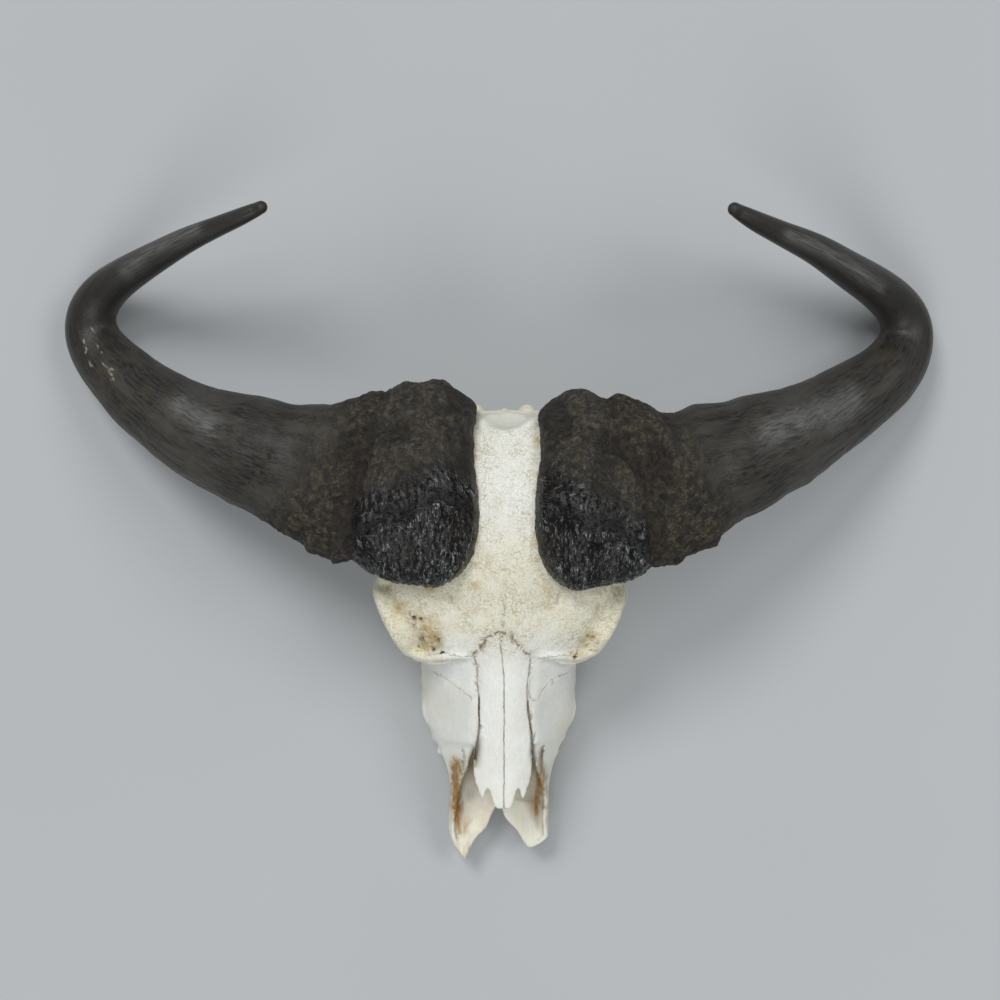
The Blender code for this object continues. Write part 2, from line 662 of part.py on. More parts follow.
def skull_bone(collection, cutters, voxel):
    """All the bone but the seats of horns and teeth, as one skin."""
    pieces = [body_of_skull(collection), nasal_bones(collection)]
    pieces.append(muzzle_side(-1, LEFT_MUZZLE, collection))
    pieces.append(muzzle_side(1, RIGHT_MUZZLE, collection))
    for side in (-1, 1):
        pieces.append(orbit_ring(side, collection))
        pieces.append(orbit_ball(side, collection, ORBIT_SHELL, ORBIT_SETBACK))
        pieces.append(tube("arch", ARCH, collection, count=30, side=side))
        pieces.append(tube("postorbital bar", POSTORBITAL_BAR, collection, side=side))
        pieces.append(tube("horn core base", HORN_CORE_BASE, collection, sides=28, side=side))
        pieces.append(tube("pterygoid", PTERYGOID, collection, side=side))
        pieces.append(tube("jugular process", JUGULAR_PROCESS, collection, side=side))
        pieces.append(tube("ear tube", EAR_TUBE, collection, side=side))
        pieces.append(tube("wing edge", WING_EDGE, collection, side=side))
        pieces.append(tube("nuchal crest", NUCHAL_CREST, collection, side=side))
    for x, y, z, *radii in MASSES:
        for side in both_sides(x):
            pieces.append(ball("mass", (side * x, y, z), radii, collection))
    bone = joined("cranium", pieces, collection)
    remesh(bone, voxel)
    hollows = [tube("nasal cavity", NASAL_CAVITY, cutters)]
    for side in (-1, 1):
        hollows.append(orbit_ball(side, cutters))
    for x, y, z, *radii in HOLLOWS:
        for side in both_sides(x):
            hollows.append(ball("hollow", (side * x, y, z), radii, cutters))
    hollow = remesh(joined("hollows", hollows, cutters), voxel)
    cut(bone, [as_cutter(hollow)])
    remesh(bone, voxel)
    smooth(bone, 0.5, 3)
    widen_sides(bone)
    return keep_largest_body(bone)


def fewer_triangles(piece, count):
    piece.data.calc_loop_triangles()
    modifier = piece.modifiers.new("fewer", "DECIMATE")
    modifier.ratio = count / len(piece.data.loop_triangles)
    modifier.use_collapse_triangulate = True
    return evaluated_mesh(piece)


def finish_of(name, colour, roughness):
    made = bpy.data.materials.new(name)
    made.use_nodes = True
    shader = made.node_tree.nodes["Principled BSDF"]
    shader.inputs["Base Color"].default_value = (*colour, 1)
    shader.inputs["Roughness"].default_value = roughness
    return made


def clear_scene():
    for piece in list(bpy.data.objects):
        bpy.data.objects.remove(piece)


def new_collection(name):
    made = bpy.data.collections.new(name)
    bpy.context.scene.collection.children.link(made)
    return made


def build():
    clear_scene()
    parts = new_collection("cape_buffalo_skull")
    cutters = new_collection("cutters")
    bone = finish_of("bone", (0.78, 0.72, 0.60), 0.6)
    keratin = finish_of("horn", (0.035, 0.031, 0.028), 0.45)
    enamel = finish_of("tooth", (0.55, 0.42, 0.27), 0.35)

    cranium = skull_bone(parts, cutters, CRANIUM_VOXEL)
    fewer_triangles(cranium, CRANIUM_TRIANGLES)
    cranium.data.materials.append(bone)

    seats = []
    for x, y, z, *radii in FORAMINA:
        for side in both_sides(x):
            hole = ball("foramen", (side * x, y, z), radii, cutters, segments=10)
            seats.append(as_cutter(hole))
    for name, table in (("horn_sheath_left", LEFT_HORN), ("horn_sheath_right", RIGHT_HORN)):
        sheath = horn(name, table, parts)
        sheath.data.materials.append(keratin)
        seats.append(seat_of(sheath, cutters))
    for side, word in ((-1, "left"), (1, "right")):
        for row in TEETH:
            made = tooth(f"tooth_{word}_{row[0]}", side, row, parts)
            made.data.materials.append(enamel)
            seats.append(seat_of(made, cutters))
    cut(cranium, seats)
    keep_largest_body(cranium)

    for piece in parts.objects:
        piece.data.shade_smooth()
        piece.data.set_sharp_from_angle(angle=math.radians(50))


build()
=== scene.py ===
"""Cape buffalo skull for pictures: bone, two horn sheaths and twelve cheek teeth, lying on a pale floor.

The nose points to -Y, the poll to +Y and the forehead faces up. Left is -X, right is +X.
Tables are in millimetres. Their Y is measured from a point between the eye sockets, which lies
ORIGIN_BACK behind the middle of the object's outline on the floor.
"""

import math
from itertools import product

import bmesh
import bpy
import numpy as np
from mathutils import Matrix, Vector


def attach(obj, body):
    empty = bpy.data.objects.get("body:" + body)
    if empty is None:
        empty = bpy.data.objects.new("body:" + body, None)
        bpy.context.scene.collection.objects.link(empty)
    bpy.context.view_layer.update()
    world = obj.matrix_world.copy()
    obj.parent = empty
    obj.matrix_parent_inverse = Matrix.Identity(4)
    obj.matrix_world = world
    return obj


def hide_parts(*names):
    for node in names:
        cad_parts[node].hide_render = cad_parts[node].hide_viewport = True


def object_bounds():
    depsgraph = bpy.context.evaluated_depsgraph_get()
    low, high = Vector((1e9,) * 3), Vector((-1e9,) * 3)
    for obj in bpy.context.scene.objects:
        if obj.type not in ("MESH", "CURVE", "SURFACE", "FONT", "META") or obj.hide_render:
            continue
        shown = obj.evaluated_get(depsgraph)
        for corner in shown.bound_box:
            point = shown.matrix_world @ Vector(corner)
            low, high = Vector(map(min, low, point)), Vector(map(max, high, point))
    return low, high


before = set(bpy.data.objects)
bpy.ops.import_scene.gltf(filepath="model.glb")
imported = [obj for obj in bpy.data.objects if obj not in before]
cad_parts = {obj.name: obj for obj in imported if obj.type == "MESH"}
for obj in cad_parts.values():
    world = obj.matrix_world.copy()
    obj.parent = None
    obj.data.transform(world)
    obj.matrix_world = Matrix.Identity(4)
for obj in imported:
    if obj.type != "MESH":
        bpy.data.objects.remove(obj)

cad_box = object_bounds()

MM = 0.001
ORIGIN_BACK = 41.7  # table Y of the outline's middle, counted towards the nose
LEFT_WIDER = 1.035  # this skull's left side is a little wider than its right
RIGHT_NARROWER = 0.965
WIDENING = {-1: LEFT_WIDER, 1: RIGHT_NARROWER}
WALL = 5.0  # thickness of the maxilla's walls and of the nasal bones

# The horns: x, y, z of the middle, and half the width across, from the boss to the tip.
LEFT_HORN = (
    (-75, 17, 214, 105), (-94, 16, 212, 104.5), (-118, 17, 208, 99), (-143, 20, 202, 90),
    (-168, 23, 196, 84.5), (-193, 27, 187, 75), (-218, 35, 178, 68), (-242, 43, 168, 62),
    (-267, 51, 157, 59), (-291, 60, 144, 55), (-316, 69, 128, 51.5), (-340, 81, 111, 47.5),
    (-364, 96, 93, 43.5), (-387, 111, 75, 41), (-410, 132, 56, 37), (-434, 156, 37.5, 33.5),
    (-448.5, 182, 29.5, 29.8), (-448.2, 204, 33, 27.5), (-437, 222, 45.5, 25), (-418, 236, 65, 21.8),
    (-394, 248, 92, 19.2), (-365, 261, 120, 16.4), (-335, 274, 145, 13.8), (-301, 286, 170, 11),
    (-272, 296, 189, 9.1), (-254, 303, 199, 7),
)
RIGHT_HORN = (
    (75, 10, 213, 102), (96, 9, 211, 99.5), (121, 12, 206, 94), (147, 15, 199, 86.5),
    (172, 19, 191, 78.5), (197, 28, 182, 71), (222, 38, 172, 65), (248, 45, 161, 61.5),
    (272, 56, 150, 57.5), (298, 65, 136, 54), (323, 77, 121, 49), (348, 90, 104, 45),
    (374, 105, 87, 42.5), (398, 120, 70, 39.5), (422, 137, 52, 36.5), (440.5, 159, 36.3, 33.5),
    (449, 183, 29.2, 29.5), (445.2, 202, 33, 28), (432.3, 217, 45, 26), (412, 230, 64.5, 23.8),
    (376, 247, 98, 20.8), (333, 267, 135, 17), (290, 282, 165, 13.1), (253, 296, 189, 9.9),
    (238, 303, 198, 7.4),
)
HORNS = {-1: LEFT_HORN, 1: RIGHT_HORN}
BOSS_INNER = 31  # distance of the boss's inner edge from the middle of the forehead
BOSS_END_RINGS = 6
BOSS_END_RISE = 10  # the boss's inner end sits this much further back than its first row
BOSS_END_WIDTH = 0.62  # width and height of the boss at its inner edge, as shares of the full ones
BOSS_END_HEIGHT = 0.3
TIP_RADIUS = 7
TIP_RINGS = 8
BOSS_FLATNESS = 0.62  # thickness of the boss as a share of its width
ROUND_BELOW = 27  # a horn this thin is round
FULL_BOSS = 100  # half width at which the horn has the boss's full flatness and squareness
BOSS_TOP = 0.78  # the upper side of the boss is this much flatter than its underside
BOSS_SQUARENESS = 0.7  # how far the boss's section goes from an ellipse towards a rectangle
HORN_CROWDING = 0.55  # rings lie closer on the boss than on the horn: 0 spaces them evenly

# Relief of the sheaths, in distance from the middle of the forehead and y; left is -1, right is 1.
CREASES = {
    -1: ((160, -70), (160, -20), (156, 12), (144, 51), (141, 82), (121, 115)),
    1: ((150, -70), (145, -15), (143, 7), (132, 36), (117, 65), (103, 110)),
}
CREASE_DEPTH = 6
CREASE_HALF_WIDTH = 9
# Where the ragged front edge of the horn's base steps in, and by how much.
LEDGES = {-1: ((180, 4), (208, 5)), 1: ((184, 3), (222, 6))}
LEDGE_RUN = 14  # a ledge fades out over about this length towards the boss
SMOOTH_BEYOND = 150  # y from which the horn has no relief
LUMP_HEIGHT = 2.2
LUMP_WAVES = (9.5, 17, 11, 23)  # millimetres in a radian of the waves that make the lumps
LUMPS_REACH = (215, 20)  # where the lumps fade out along the horn, and over what length
REAR_LUMP = (114, 14, 4.5)  # distance from the middle, half width and height of the boss's rear knob
INNER_BULGE = 5  # the front of the boss's inner edge stands nearer the middle than its rear
BULGE_WAVE = (-20, 24)  # y of that bulge's middle, and millimetres in a radian of its wave

# The skull's body: rails that run from the nose to the poll, each a row of y, x, z.
RAILS = {
    "dorsal midline": (
        (-262, 0, 144), (-230, 0, 158), (-180, 0, 180), (-137, 0, 200), (-105, 0, 212),
        (-75, 0, 222), (-40, 0, 228), (0, 0, 231), (40, 0, 229), (72, 0, 220), (88, 0, 210),
        (93, 0, 198),
    ),
    "nasal edge and brow": (
        (-262, 26, 137), (-230, 26, 150), (-180, 28, 172), (-160, 33, 181), (-137, 46, 191),
        (-105, 52, 203), (-75, 55, 212), (-40, 58, 218), (0, 58, 221), (40, 56, 219),
        (75, 50, 211), (93, 40, 192),
    ),
    "cheek top and temporal line": (
        (-262, 50, 104), (-230, 56, 112), (-205, 60, 124), (-180, 64, 142), (-160, 80, 158),
        (-137, 96, 170), (-105, 112, 177), (-75, 116, 175), (-55, 102, 178), (-30, 97, 180),
        (0, 96, 182), (40, 94, 184), (75, 84, 178), (93, 64, 168),
    ),
    "cheek and temple": (
        (-262, 68, 64), (-230, 82, 62), (-205, 79, 78), (-180, 79, 92), (-160, 82, 104),
        (-137, 80, 118), (-105, 72, 134), (-75, 68, 136), (-40, 66, 132), (0, 66, 130),
        (40, 78, 128), (75, 98, 122), (93, 86, 120),
    ),
    "outer tooth socket edge and side of the braincase": (
        (-262, 68, 25), (-230, 77, 22), (-180, 79.5, 22), (-155, 77, 25), (-137, 68, 34),
        (-120, 56, 62), (-105, 46, 94), (-75, 50, 96), (-40, 58, 94), (0, 64, 92), (40, 74, 90),
        (75, 72, 80), (93, 50, 84),
    ),
    "inner tooth socket edge and side of the skull base": (
        (-262, 40, 24), (-230, 44, 22), (-180, 46, 22), (-155, 44, 25), (-137, 38, 34),
        (-120, 30, 58), (-105, 24, 80), (-75, 24, 74), (-40, 26, 66), (0, 28, 60), (40, 30, 57),
        (75, 28, 58), (93, 26, 66),
    ),
    "palate and base midline": (
        (-262, 0, 37), (-230, 0, 36), (-180, 0, 38), (-155, 0, 42), (-137, 0, 47),
        (-120, 0, 64), (-105, 0, 80), (-75, 0, 72), (-40, 0, 64), (0, 0, 59), (40, 0, 56),
        (75, 0, 54), (93, 0, 62),
    ),
}
OCCIPUT_TOP = 150  # below this height the back of the skull slopes forwards
OCCIPUT_SLOPE = 0.2
BODY_STATIONS = 40
BODY_ROUND = 56  # points round each section of the body

# The front of each maxilla, where the premaxillae are lost: y, then x, z of the top edge,
# of the widest point and of the tooth socket edge, and x of the edge next to the middle.
LEFT_MUZZLE = (
    (-250, 24, 142, 75, 64, 71, 26, 0), (-265, 26, 135, 68, 60, 66, 26, 0),
    (-283, 37, 112, 61, 56, 59, 27, 0), (-303, 46, 88, 56, 52, 54, 27, 0),
    (-319, 50, 72, 55, 47, 52, 27, 0), (-337, 52, 60, 56, 43, 51, 27, 6),
    (-350, 53, 54, 56.7, 41, 51, 28, 12), (-360, 53.5, 49, 56.7, 39, 51, 29, 16),
    (-370, 52, 45, 55, 37, 50, 30, 26), (-380, 48, 42, 50, 36, 46, 31, 31.5),
    (-388, 42.5, 40, 44, 36, 41, 32, 35), (-395, 38, 38, 39, 36, 37.5, 33, 36),
)
RIGHT_MUZZLE = LEFT_MUZZLE[:5] + (
    (-337, 51, 60, 54.5, 43, 50, 27, 0.5), (-350, 50, 54, 53.5, 41, 49, 28, 5),
    (-363, 51, 48, 55, 39, 49, 29, 18), (-370, 51, 45, 54, 38, 48, 30, 22),
    (-376, 45, 43, 47, 37, 43, 31, 26), (-382, 34, 40, 35, 37, 33, 33, 30),
)
MUZZLES = {-1: LEFT_MUZZLE, 1: RIGHT_MUZZLE}
MUZZLE_STATIONS = 34
PALATE_TOP = 41  # height of the nasal cavity's floor
VAULT_OF_PALATE = 35

# The nasal bones beyond the closed part of the face: y and half their width.
NASAL_WIDTHS = (
    (-190, 27), (-214, 25.6), (-237, 27.2), (-262, 30.5), (-290, 31.8), (-305, 29.2),
    (-340, 28.7),
)
NASAL_RIDGE = ((-190, 175), (-237, 155), (-262, 144), (-300, 127), (-335, 116))
# Their front edge: the share of the half width, and y there, with a notch beside each prong.
NASAL_FRONT = (
    (0, -331), (0.2, -331), (0.38, -327), (0.54, -307), (0.64, -309), (0.78, -322), (0.9, -314),
    (1, -302),
)
NASAL_ARCH = 9  # drop of the bones' edges below their middle
NASAL_GRID = (41, 40)  # points across and along

# The eye sockets: a ring that faces outwards and forwards, with a deep bowl behind it.
ORBIT = (111, -126, 134)
ORBIT_FACING = Vector((0.90, -0.435, -0.14)).normalized()
ORBIT_RING = 37
ORBIT_RIM = 8
ORBIT_BOWL = (34, 46)  # radius across, radius in depth
ORBIT_SETBACK = 22
ORBIT_SHELL = 7
ORBIT_RIM_GRID = (36, 12)  # points round the socket and round the rim's section
BALL_GRID = (24, 14)  # points round a ball and from top to bottom

# Cheek bone and arch, from the facial tuber back to the ear: x, y, z, half width, half height.
ARCH = (
    (64, -252, 56, 7, 6), (74.5, -230, 60, 10, 9), (71, -205, 68, 9, 11), (70, -182, 78, 10, 14),
    (84, -158, 86, 9, 14), (104, -132, 92, 8, 14), (117, -102, 97, 7, 14), (121, -70, 101, 6, 13),
    (117, -30, 104, 6, 11), (108, 5, 106, 8, 10), (94, 32, 106, 11, 12), (78, 45, 104, 14, 14),
)
# The front edge of the forehead's wing, a step above the cheek.
WING_EDGE = (
    (30, -160, 172, 8, 8), (50, -163, 168, 8, 9), (72, -166, 158, 8, 10), (90, -162, 146, 8, 12),
)
POSTORBITAL_BAR = (
    (100, -50, 166, 14, 10), (117, -74, 158, 9, 11), (126, -88, 135, 7, 9),
    (122, -92, 100, 7, 10),
)
HORN_CORE_BASE = (
    (60, 12, 150, 72, 46), (100, 12, 160, 66, 32), (124, 14, 164, 54, 20), (142, 16, 167, 36, 10),
)
PTERYGOID = ((25, -146, 52, 3.5, 18), (24, -120, 56, 3.5, 24), (24, -90, 62, 3.5, 18), (26, -60, 66, 3, 8))
NUCHAL_CREST = (
    (0, 85, 198, 6, 7), (34, 85, 192, 6, 8), (66, 83, 168, 6, 8), (90, 75, 132, 8, 8),
    (92, 66, 100, 10, 10),
)
JUGULAR_PROCESS = ((62, 58, 92, 16, 10), (60, 57, 66, 10, 7), (55, 55, 44, 7, 5), (52, 52, 30, 4, 3))
EAR_TUBE = ((66, 30, 88, 11, 11), (86, 34, 96, 9, 9), (97, 37, 100, 8, 8))
# Every bar that is built on both sides: name, rows, points along it and round it.
BARS = (
    ("arch", ARCH, 30, 16), ("postorbital bar", POSTORBITAL_BAR, 16, 16),
    ("horn core base", HORN_CORE_BASE, 16, 28), ("pterygoid", PTERYGOID, 16, 16),
    ("jugular process", JUGULAR_PROCESS, 16, 16), ("ear tube", EAR_TUBE, 16, 16),
    ("wing edge", WING_EDGE, 16, 16), ("nuchal crest", NUCHAL_CREST, 16, 16),
)

# Rounded masses: centre x, y, z and radii; those off the middle are mirrored.
MASSES = (
    (28, 84, 63, 14, 21, 24),  # condyles
    (38, 20, 54, 12, 22, 16),  # ear bullae
    (84, 22, 96, 20, 22, 14),  # jaw joint
    (0, 87, 156, 13, 8, 18),  # knob of the occiput
    (24, 86, 200, 8, 5, 5),  # corners of the poll
    (63, -136, 50, 15, 14, 20),  # maxillary tuber
    (0, 54, 56, 16, 34, 8),  # base in front of the condyles
    (86, -150, 106, 15, 24, 26),  # cheek bone under the eye
    (99, -90, 164, 17, 20, 11),  # roof behind the eye
)
# Flaked bone beside the left premolars: centre and radii.
LEFT_FLAKES = ((-70, -259, 38, 4, 8, 8), (-64, -274, 36, 4, 6, 7))
# Hollows, in the same form.
HOLLOWS = (
    (86, -60, 128, 20, 34, 26),  # temporal fossa, open into the eye socket
    (92, 0, 138, 18, 40, 26),  # temporal fossa under the horn
    (58, -108, 62, 24, 24, 30),  # fossa behind the last molar
    (0, -128, 63, 19, 40, 13),  # choanae
    (0, 88, 80, 18, 46, 17),  # foramen magnum
    (0, 100, 226, 44, 28, 24),  # scoop at the rear of the poll
    (97, 38, 100, 12, 4, 4),  # ear opening
)
# Small holes with clean edges, in the same form.
FORAMINA = (
    (80, -250, 60, 9, 7, 5),  # infraorbital
    (58, -104, 205, 3.5, 6, 8),  # supraorbital
)
NASAL_CAVITY = (
    (0, -300, 84, 38, 42), (0, -262, 86, 38, 44), (0, -235, 92, 34, 47), (0, -205, 100, 28, 46),
    (0, -175, 104, 12, 22),
)

# Cheek teeth, front to back: name, middle y, length, width, x of the middle, number of lobes.
TEETH = (
    ("p2", -276, 13.6, 13, 57, 1), ("p3", -260, 17.6, 17, 60, 1), ("p4", -241.6, 18.6, 20, 62, 1),
    ("m1", -218.8, 26.4, 24, 63.5, 2), ("m2", -190, 30.6, 25, 64, 2), ("m3", -158.2, 32.4, 23, 62, 2),
)


def through(stations, values, at):
    """Values of a smooth curve through the given ones, at other stations."""
    x = np.asarray(stations, float)
    y = np.asarray(values, float)
    at = np.asarray(at, float)
    slope = np.gradient(y, x)
    i = np.clip(np.searchsorted(x, at) - 1, 0, len(x) - 2)
    step = x[i + 1] - x[i]
    t = np.clip((at - x[i]) / step, 0, 1)
    start = y[i] * (1 + 2 * t) * (1 - t) ** 2 + step * slope[i] * t * (1 - t) ** 2
    end = y[i + 1] * t * t * (3 - 2 * t) + step * slope[i + 1] * t * t * (t - 1)
    return start + end


def travelled(rows):
    """How far along its path each row lies."""
    return np.concatenate([[0], np.cumsum(np.linalg.norm(np.diff(rows[:, :3], axis=0), axis=1))])


def path_through(rows, count, crowding=0.0):
    """count rows along a smooth path, closer at its start with crowding; x, y, z come first."""
    rows = np.array(rows, float)
    length = travelled(rows)
    share = np.linspace(0, 1, count)
    at = length[-1] * share * (1 - crowding + crowding * share)
    return np.column_stack([through(length, column, at) for column in rows.T])


def closed_curve(points, count):
    """count points round a smooth closed curve through the given ones."""
    points = np.array(points, float)
    around = np.concatenate([points[-3:], points, points[:3]])
    chord = np.linalg.norm(np.diff(around, axis=0), axis=1) ** 0.5
    at = np.concatenate([[0], np.cumsum(chord)])
    wanted = np.linspace(at[3], at[-3], count, endpoint=False)
    return np.column_stack([through(at, column, wanted) for column in around.T])


def to_world(points):
    """Table millimetres to the object's metres."""
    return (np.asarray(points, float) + (0, ORIGIN_BACK, 0)) * MM


def linked(name, data, collection=None):
    """A new object with the given data, in the scene's own collection if none is named."""
    made = bpy.data.objects.new(name, data)
    (collection or bpy.context.scene.collection).objects.link(made)
    return made


def outward_faces(piece, largest=4):
    """Turns all faces outwards, with those of more than the largest number of corners cut up."""
    made = bmesh.new()
    made.from_mesh(piece.data)
    bmesh.ops.triangulate(made, faces=[f for f in made.faces if len(f.verts) > largest])
    bmesh.ops.recalc_face_normals(made, faces=made.faces)
    if made.calc_volume(signed=True) < 0:
        bmesh.ops.reverse_faces(made, faces=made.faces)
    made.to_mesh(piece.data)
    made.free()


def mesh_piece(name, points, faces, collection=None):
    """An object of faces through points in table millimetres."""
    mesh = bpy.data.meshes.new(name)
    mesh.from_pydata(to_world(points).tolist(), [], faces)
    return linked(name, mesh, collection)


def ring_quads(index, endless=False):
    """Quads between neighbouring rows of point numbers, each row closed round the body."""
    after = np.roll(index, -1, axis=1)
    onward = np.roll(index, -1, axis=0)
    corners = np.stack([index, after, np.roll(after, -1, axis=0), onward], axis=-1)
    return (corners if endless else corners[:-1]).reshape(-1, 4)


def ring_loft(name, rings, collection, endless=False):
    """A closed body through rings of points that match one another, with a flat end at each end.

    An endless one joins its last ring to its first and has no ends.
    """
    index = np.arange(len(rings) * len(rings[0])).reshape(len(rings), -1)
    faces = ring_quads(index, endless).tolist()
    if not endless:
        faces += [index[0].tolist(), index[-1].tolist()]
    piece = mesh_piece(name, np.concatenate(rings), faces, collection)
    outward_faces(piece, 3)
    return piece


def mirrored(points):
    return np.asarray(points, float) * (-1, 1, 1)


def tube(name, rows, collection, count=16, sides=16, side=1):
    """A tapering bar along a path; its width lies level and its height square to that."""
    path = path_through(rows, count)
    ahead = np.gradient(path[:, :3], axis=0)
    rings = []
    for (x, y, z, wide, high), direction in zip(path, ahead):
        forward = Vector(direction).normalized()
        across = forward.cross(Vector((0, 0, 1)))
        if across.length < 0.3:
            across = forward.cross(Vector((0, 1, 0)))
        across.normalize()
        upward = across.cross(forward)
        ring = []
        for i in range(sides):
            angle = 2 * math.pi * i / sides
            aside = across * (wide * math.cos(angle))
            ring.append(Vector((x, y, z)) + aside + upward * (high * math.sin(angle)))
        rings.append(np.array([(p.x * side, p.y, p.z) for p in ring]))
    return ring_loft(name, rings, collection)


def ball(name, centre, radii, collection, turn=None, top=None):
    """An ellipsoid; turn is a matrix that rotates it, and top a height where it ends flat."""
    made = bmesh.new()
    bmesh.ops.create_uvsphere(made, u_segments=BALL_GRID[0], v_segments=BALL_GRID[1], radius=1)
    rotation = turn if turn is not None else Matrix.Identity(3)
    for vertex in made.verts:
        scaled = Vector([vertex.co[i] * radii[i] for i in range(3)])
        if top is not None:
            scaled.z = min(scaled.z, top)
        vertex.co = to_world(Vector(centre) + rotation @ scaled)
    mesh = bpy.data.meshes.new(name)
    bmesh.ops.recalc_face_normals(made, faces=made.faces)
    made.to_mesh(mesh)
    made.free()
    return linked(name, mesh, collection)


def both_sides(x):
    return (-1, 1) if x > 0 else (1,)


def horn_rows(table):
    """The horn's path with the rounded inner end of its boss put before the table's rows."""
    x, y, z, half = table[0]
    side = math.copysign(1, x)
    rows = []
    for k in range(BOSS_END_RINGS):
        turn = 0.5 * math.pi * k / BOSS_END_RINGS
        out = BOSS_INNER + (abs(x) - BOSS_INNER) * (1 - math.cos(turn))
        back = y + BOSS_END_RISE * (1 - math.sin(turn))
        fullness = BOSS_END_WIDTH + (1 - BOSS_END_WIDTH) * math.sin(turn)
        height = BOSS_END_HEIGHT + (1 - BOSS_END_HEIGHT) * math.sin(turn)
        rows.append((side * out, back, z, half * fullness, height))
    return rows + [(*row, 1.0) for row in table]


def body_of_skull(collection):
    """Face, forehead and braincase as one loft through the rails."""
    first, last = RAILS["dorsal midline"][0][0], RAILS["dorsal midline"][-1][0]
    stations = np.linspace(first, last, BODY_STATIONS)
    rails = []
    for rows in RAILS.values():
        y, x, z = np.array(rows, float).T
        rails.append(np.column_stack([through(y, x, stations), stations, through(y, z, stations)]))
    rings = []
    for k in range(BODY_STATIONS):
        half = [rail[k] for rail in rails]
        ring = half + [mirrored(p) for p in half[-2:0:-1]]
        ring = closed_curve(ring, BODY_ROUND)
        rearness = max(stations[k] / last, 0) ** 2
        ring[:, 1] -= rearness * OCCIPUT_SLOPE * np.maximum(OCCIPUT_TOP - ring[:, 2], 0)
        rings.append(ring)
    return ring_loft("body of the skull", rings, collection)


def muzzle_side(side, collection):
    """The trough that is left of one maxilla in front of the closed face."""
    rows = np.array(MUZZLES[side], float)
    stations = np.linspace(rows[0, 0], rows[-1, 0], MUZZLE_STATIONS)
    columns = [through(-rows[:, 0], column, -stations) for column in rows.T]
    rings = []
    for y, top_x, top_z, wide_x, wide_z, low_x, low_z, middle in zip(stations, *columns[1:]):
        wall = min(WALL, 0.4 * (wide_x - middle))
        under = max(VAULT_OF_PALATE - 0.15 * middle, low_z - 1)
        floor = min(PALATE_TOP, top_z - 2)
        inner = max(middle, min(36, low_x - 12))
        section = (
            (top_x, top_z), (wide_x, wide_z), (low_x, low_z), (inner, low_z), (middle, under),
            (middle, max(under + 4, floor - 2)), (max(middle, low_x - 2 * wall), floor),
            (wide_x - wall, max(wide_z, floor)), (top_x - wall, top_z - 1),
        )
        rings.append(np.array([(side * x, y, z) for x, z in section]))
    return ring_loft("maxilla front", rings, collection)


def nasal_bones(collection):
    """The roof of the nose beyond the closed face: a curved plate with notched tips."""
    columns, rows = NASAL_GRID
    y_width, width = np.array(NASAL_WIDTHS, float).T
    y_ridge, ridge = np.array(NASAL_RIDGE, float).T
    share, front = np.array(NASAL_FRONT, float).T
    back = y_width[0]
    points = []
    for across in np.linspace(-1, 1, columns):
        end = np.interp(abs(across), share, front)
        for y in np.linspace(back, end, rows):
            half = through(-y_width, width, -y)
            top = through(-y_ridge, ridge, -y)
            points.append((across * half, y, top - NASAL_ARCH * across * across))
    starts = [i * rows + j for i in range(columns - 1) for j in range(rows - 1)]
    faces = [(k, k + 1, k + rows + 1, k + rows) for k in starts]
    plate = mesh_piece("nasal bones", points, faces, collection)
    solidify = plate.modifiers.new("thickness", "SOLIDIFY")
    solidify.thickness = WALL * MM
    solidify.offset = -1 if plate.data.polygons[0].normal.z > 0 else 1
    return plate


def orbit_turn(side):
    """Rotation that turns +Z to the way the eye socket faces."""
    facing = Vector((side * ORBIT_FACING.x, ORBIT_FACING.y, ORBIT_FACING.z))
    return facing, facing.to_track_quat("Z", "Y").to_matrix()


def orbit_ring(side, collection):
    _, turn = orbit_turn(side)
    around, sides = ORBIT_RIM_GRID
    centre = Vector((side * ORBIT[0], ORBIT[1], ORBIT[2]))
    rings = []
    for a in np.linspace(0, 2 * math.pi, around, endpoint=False):
        ring = []
        for b in np.linspace(0, 2 * math.pi, sides, endpoint=False):
            reach = ORBIT_RING + ORBIT_RIM * math.cos(b)
            local = Vector((reach * math.cos(a), reach * math.sin(a), ORBIT_RIM * math.sin(b)))
            ring.append(tuple(centre + turn @ local))
        rings.append(ring)
    return ring_loft("orbit rim", rings, collection, endless=True)


def orbit_ball(side, collection, extra=0.0, top=None):
    facing, turn = orbit_turn(side)
    centre = Vector((side * ORBIT[0], ORBIT[1], ORBIT[2])) - facing * ORBIT_SETBACK
    across, deep = ORBIT_BOWL
    radii = (across + extra, across + extra, deep + extra)
    return ball("orbit", centre, radii, collection, turn, top)


def evaluated_mesh(piece):
    """The piece's mesh with its modifiers applied, in place."""
    graph = bpy.context.evaluated_depsgraph_get()
    graph.update()
    mesh = bpy.data.meshes.new_from_object(piece.evaluated_get(graph))
    piece.modifiers.clear()
    old = piece.data
    piece.data = mesh
    bpy.data.meshes.remove(old)
    return piece


def joined(name, pieces, collection):
    made = bmesh.new()
    for piece in pieces:
        evaluated_mesh(piece)
        made.from_mesh(piece.data)
        mesh = piece.data
        bpy.data.objects.remove(piece)
        bpy.data.meshes.remove(mesh)
    mesh = bpy.data.meshes.new(name)
    made.to_mesh(mesh)
    made.free()
    return linked(name, mesh, collection)


def remesh(piece):
    modifier = piece.modifiers.new("skin", "REMESH")
    modifier.mode = "VOXEL"
    modifier.voxel_size = BONE_VOXEL * MM
    return evaluated_mesh(piece)


def smooth(piece, times, group=""):
    """Smooths the piece, only in its group of vertices if one is named."""
    modifier = piece.modifiers.new("smooth", "SMOOTH")
    modifier.factor = 0.5
    modifier.iterations = times
    modifier.vertex_group = group
    return evaluated_mesh(piece)


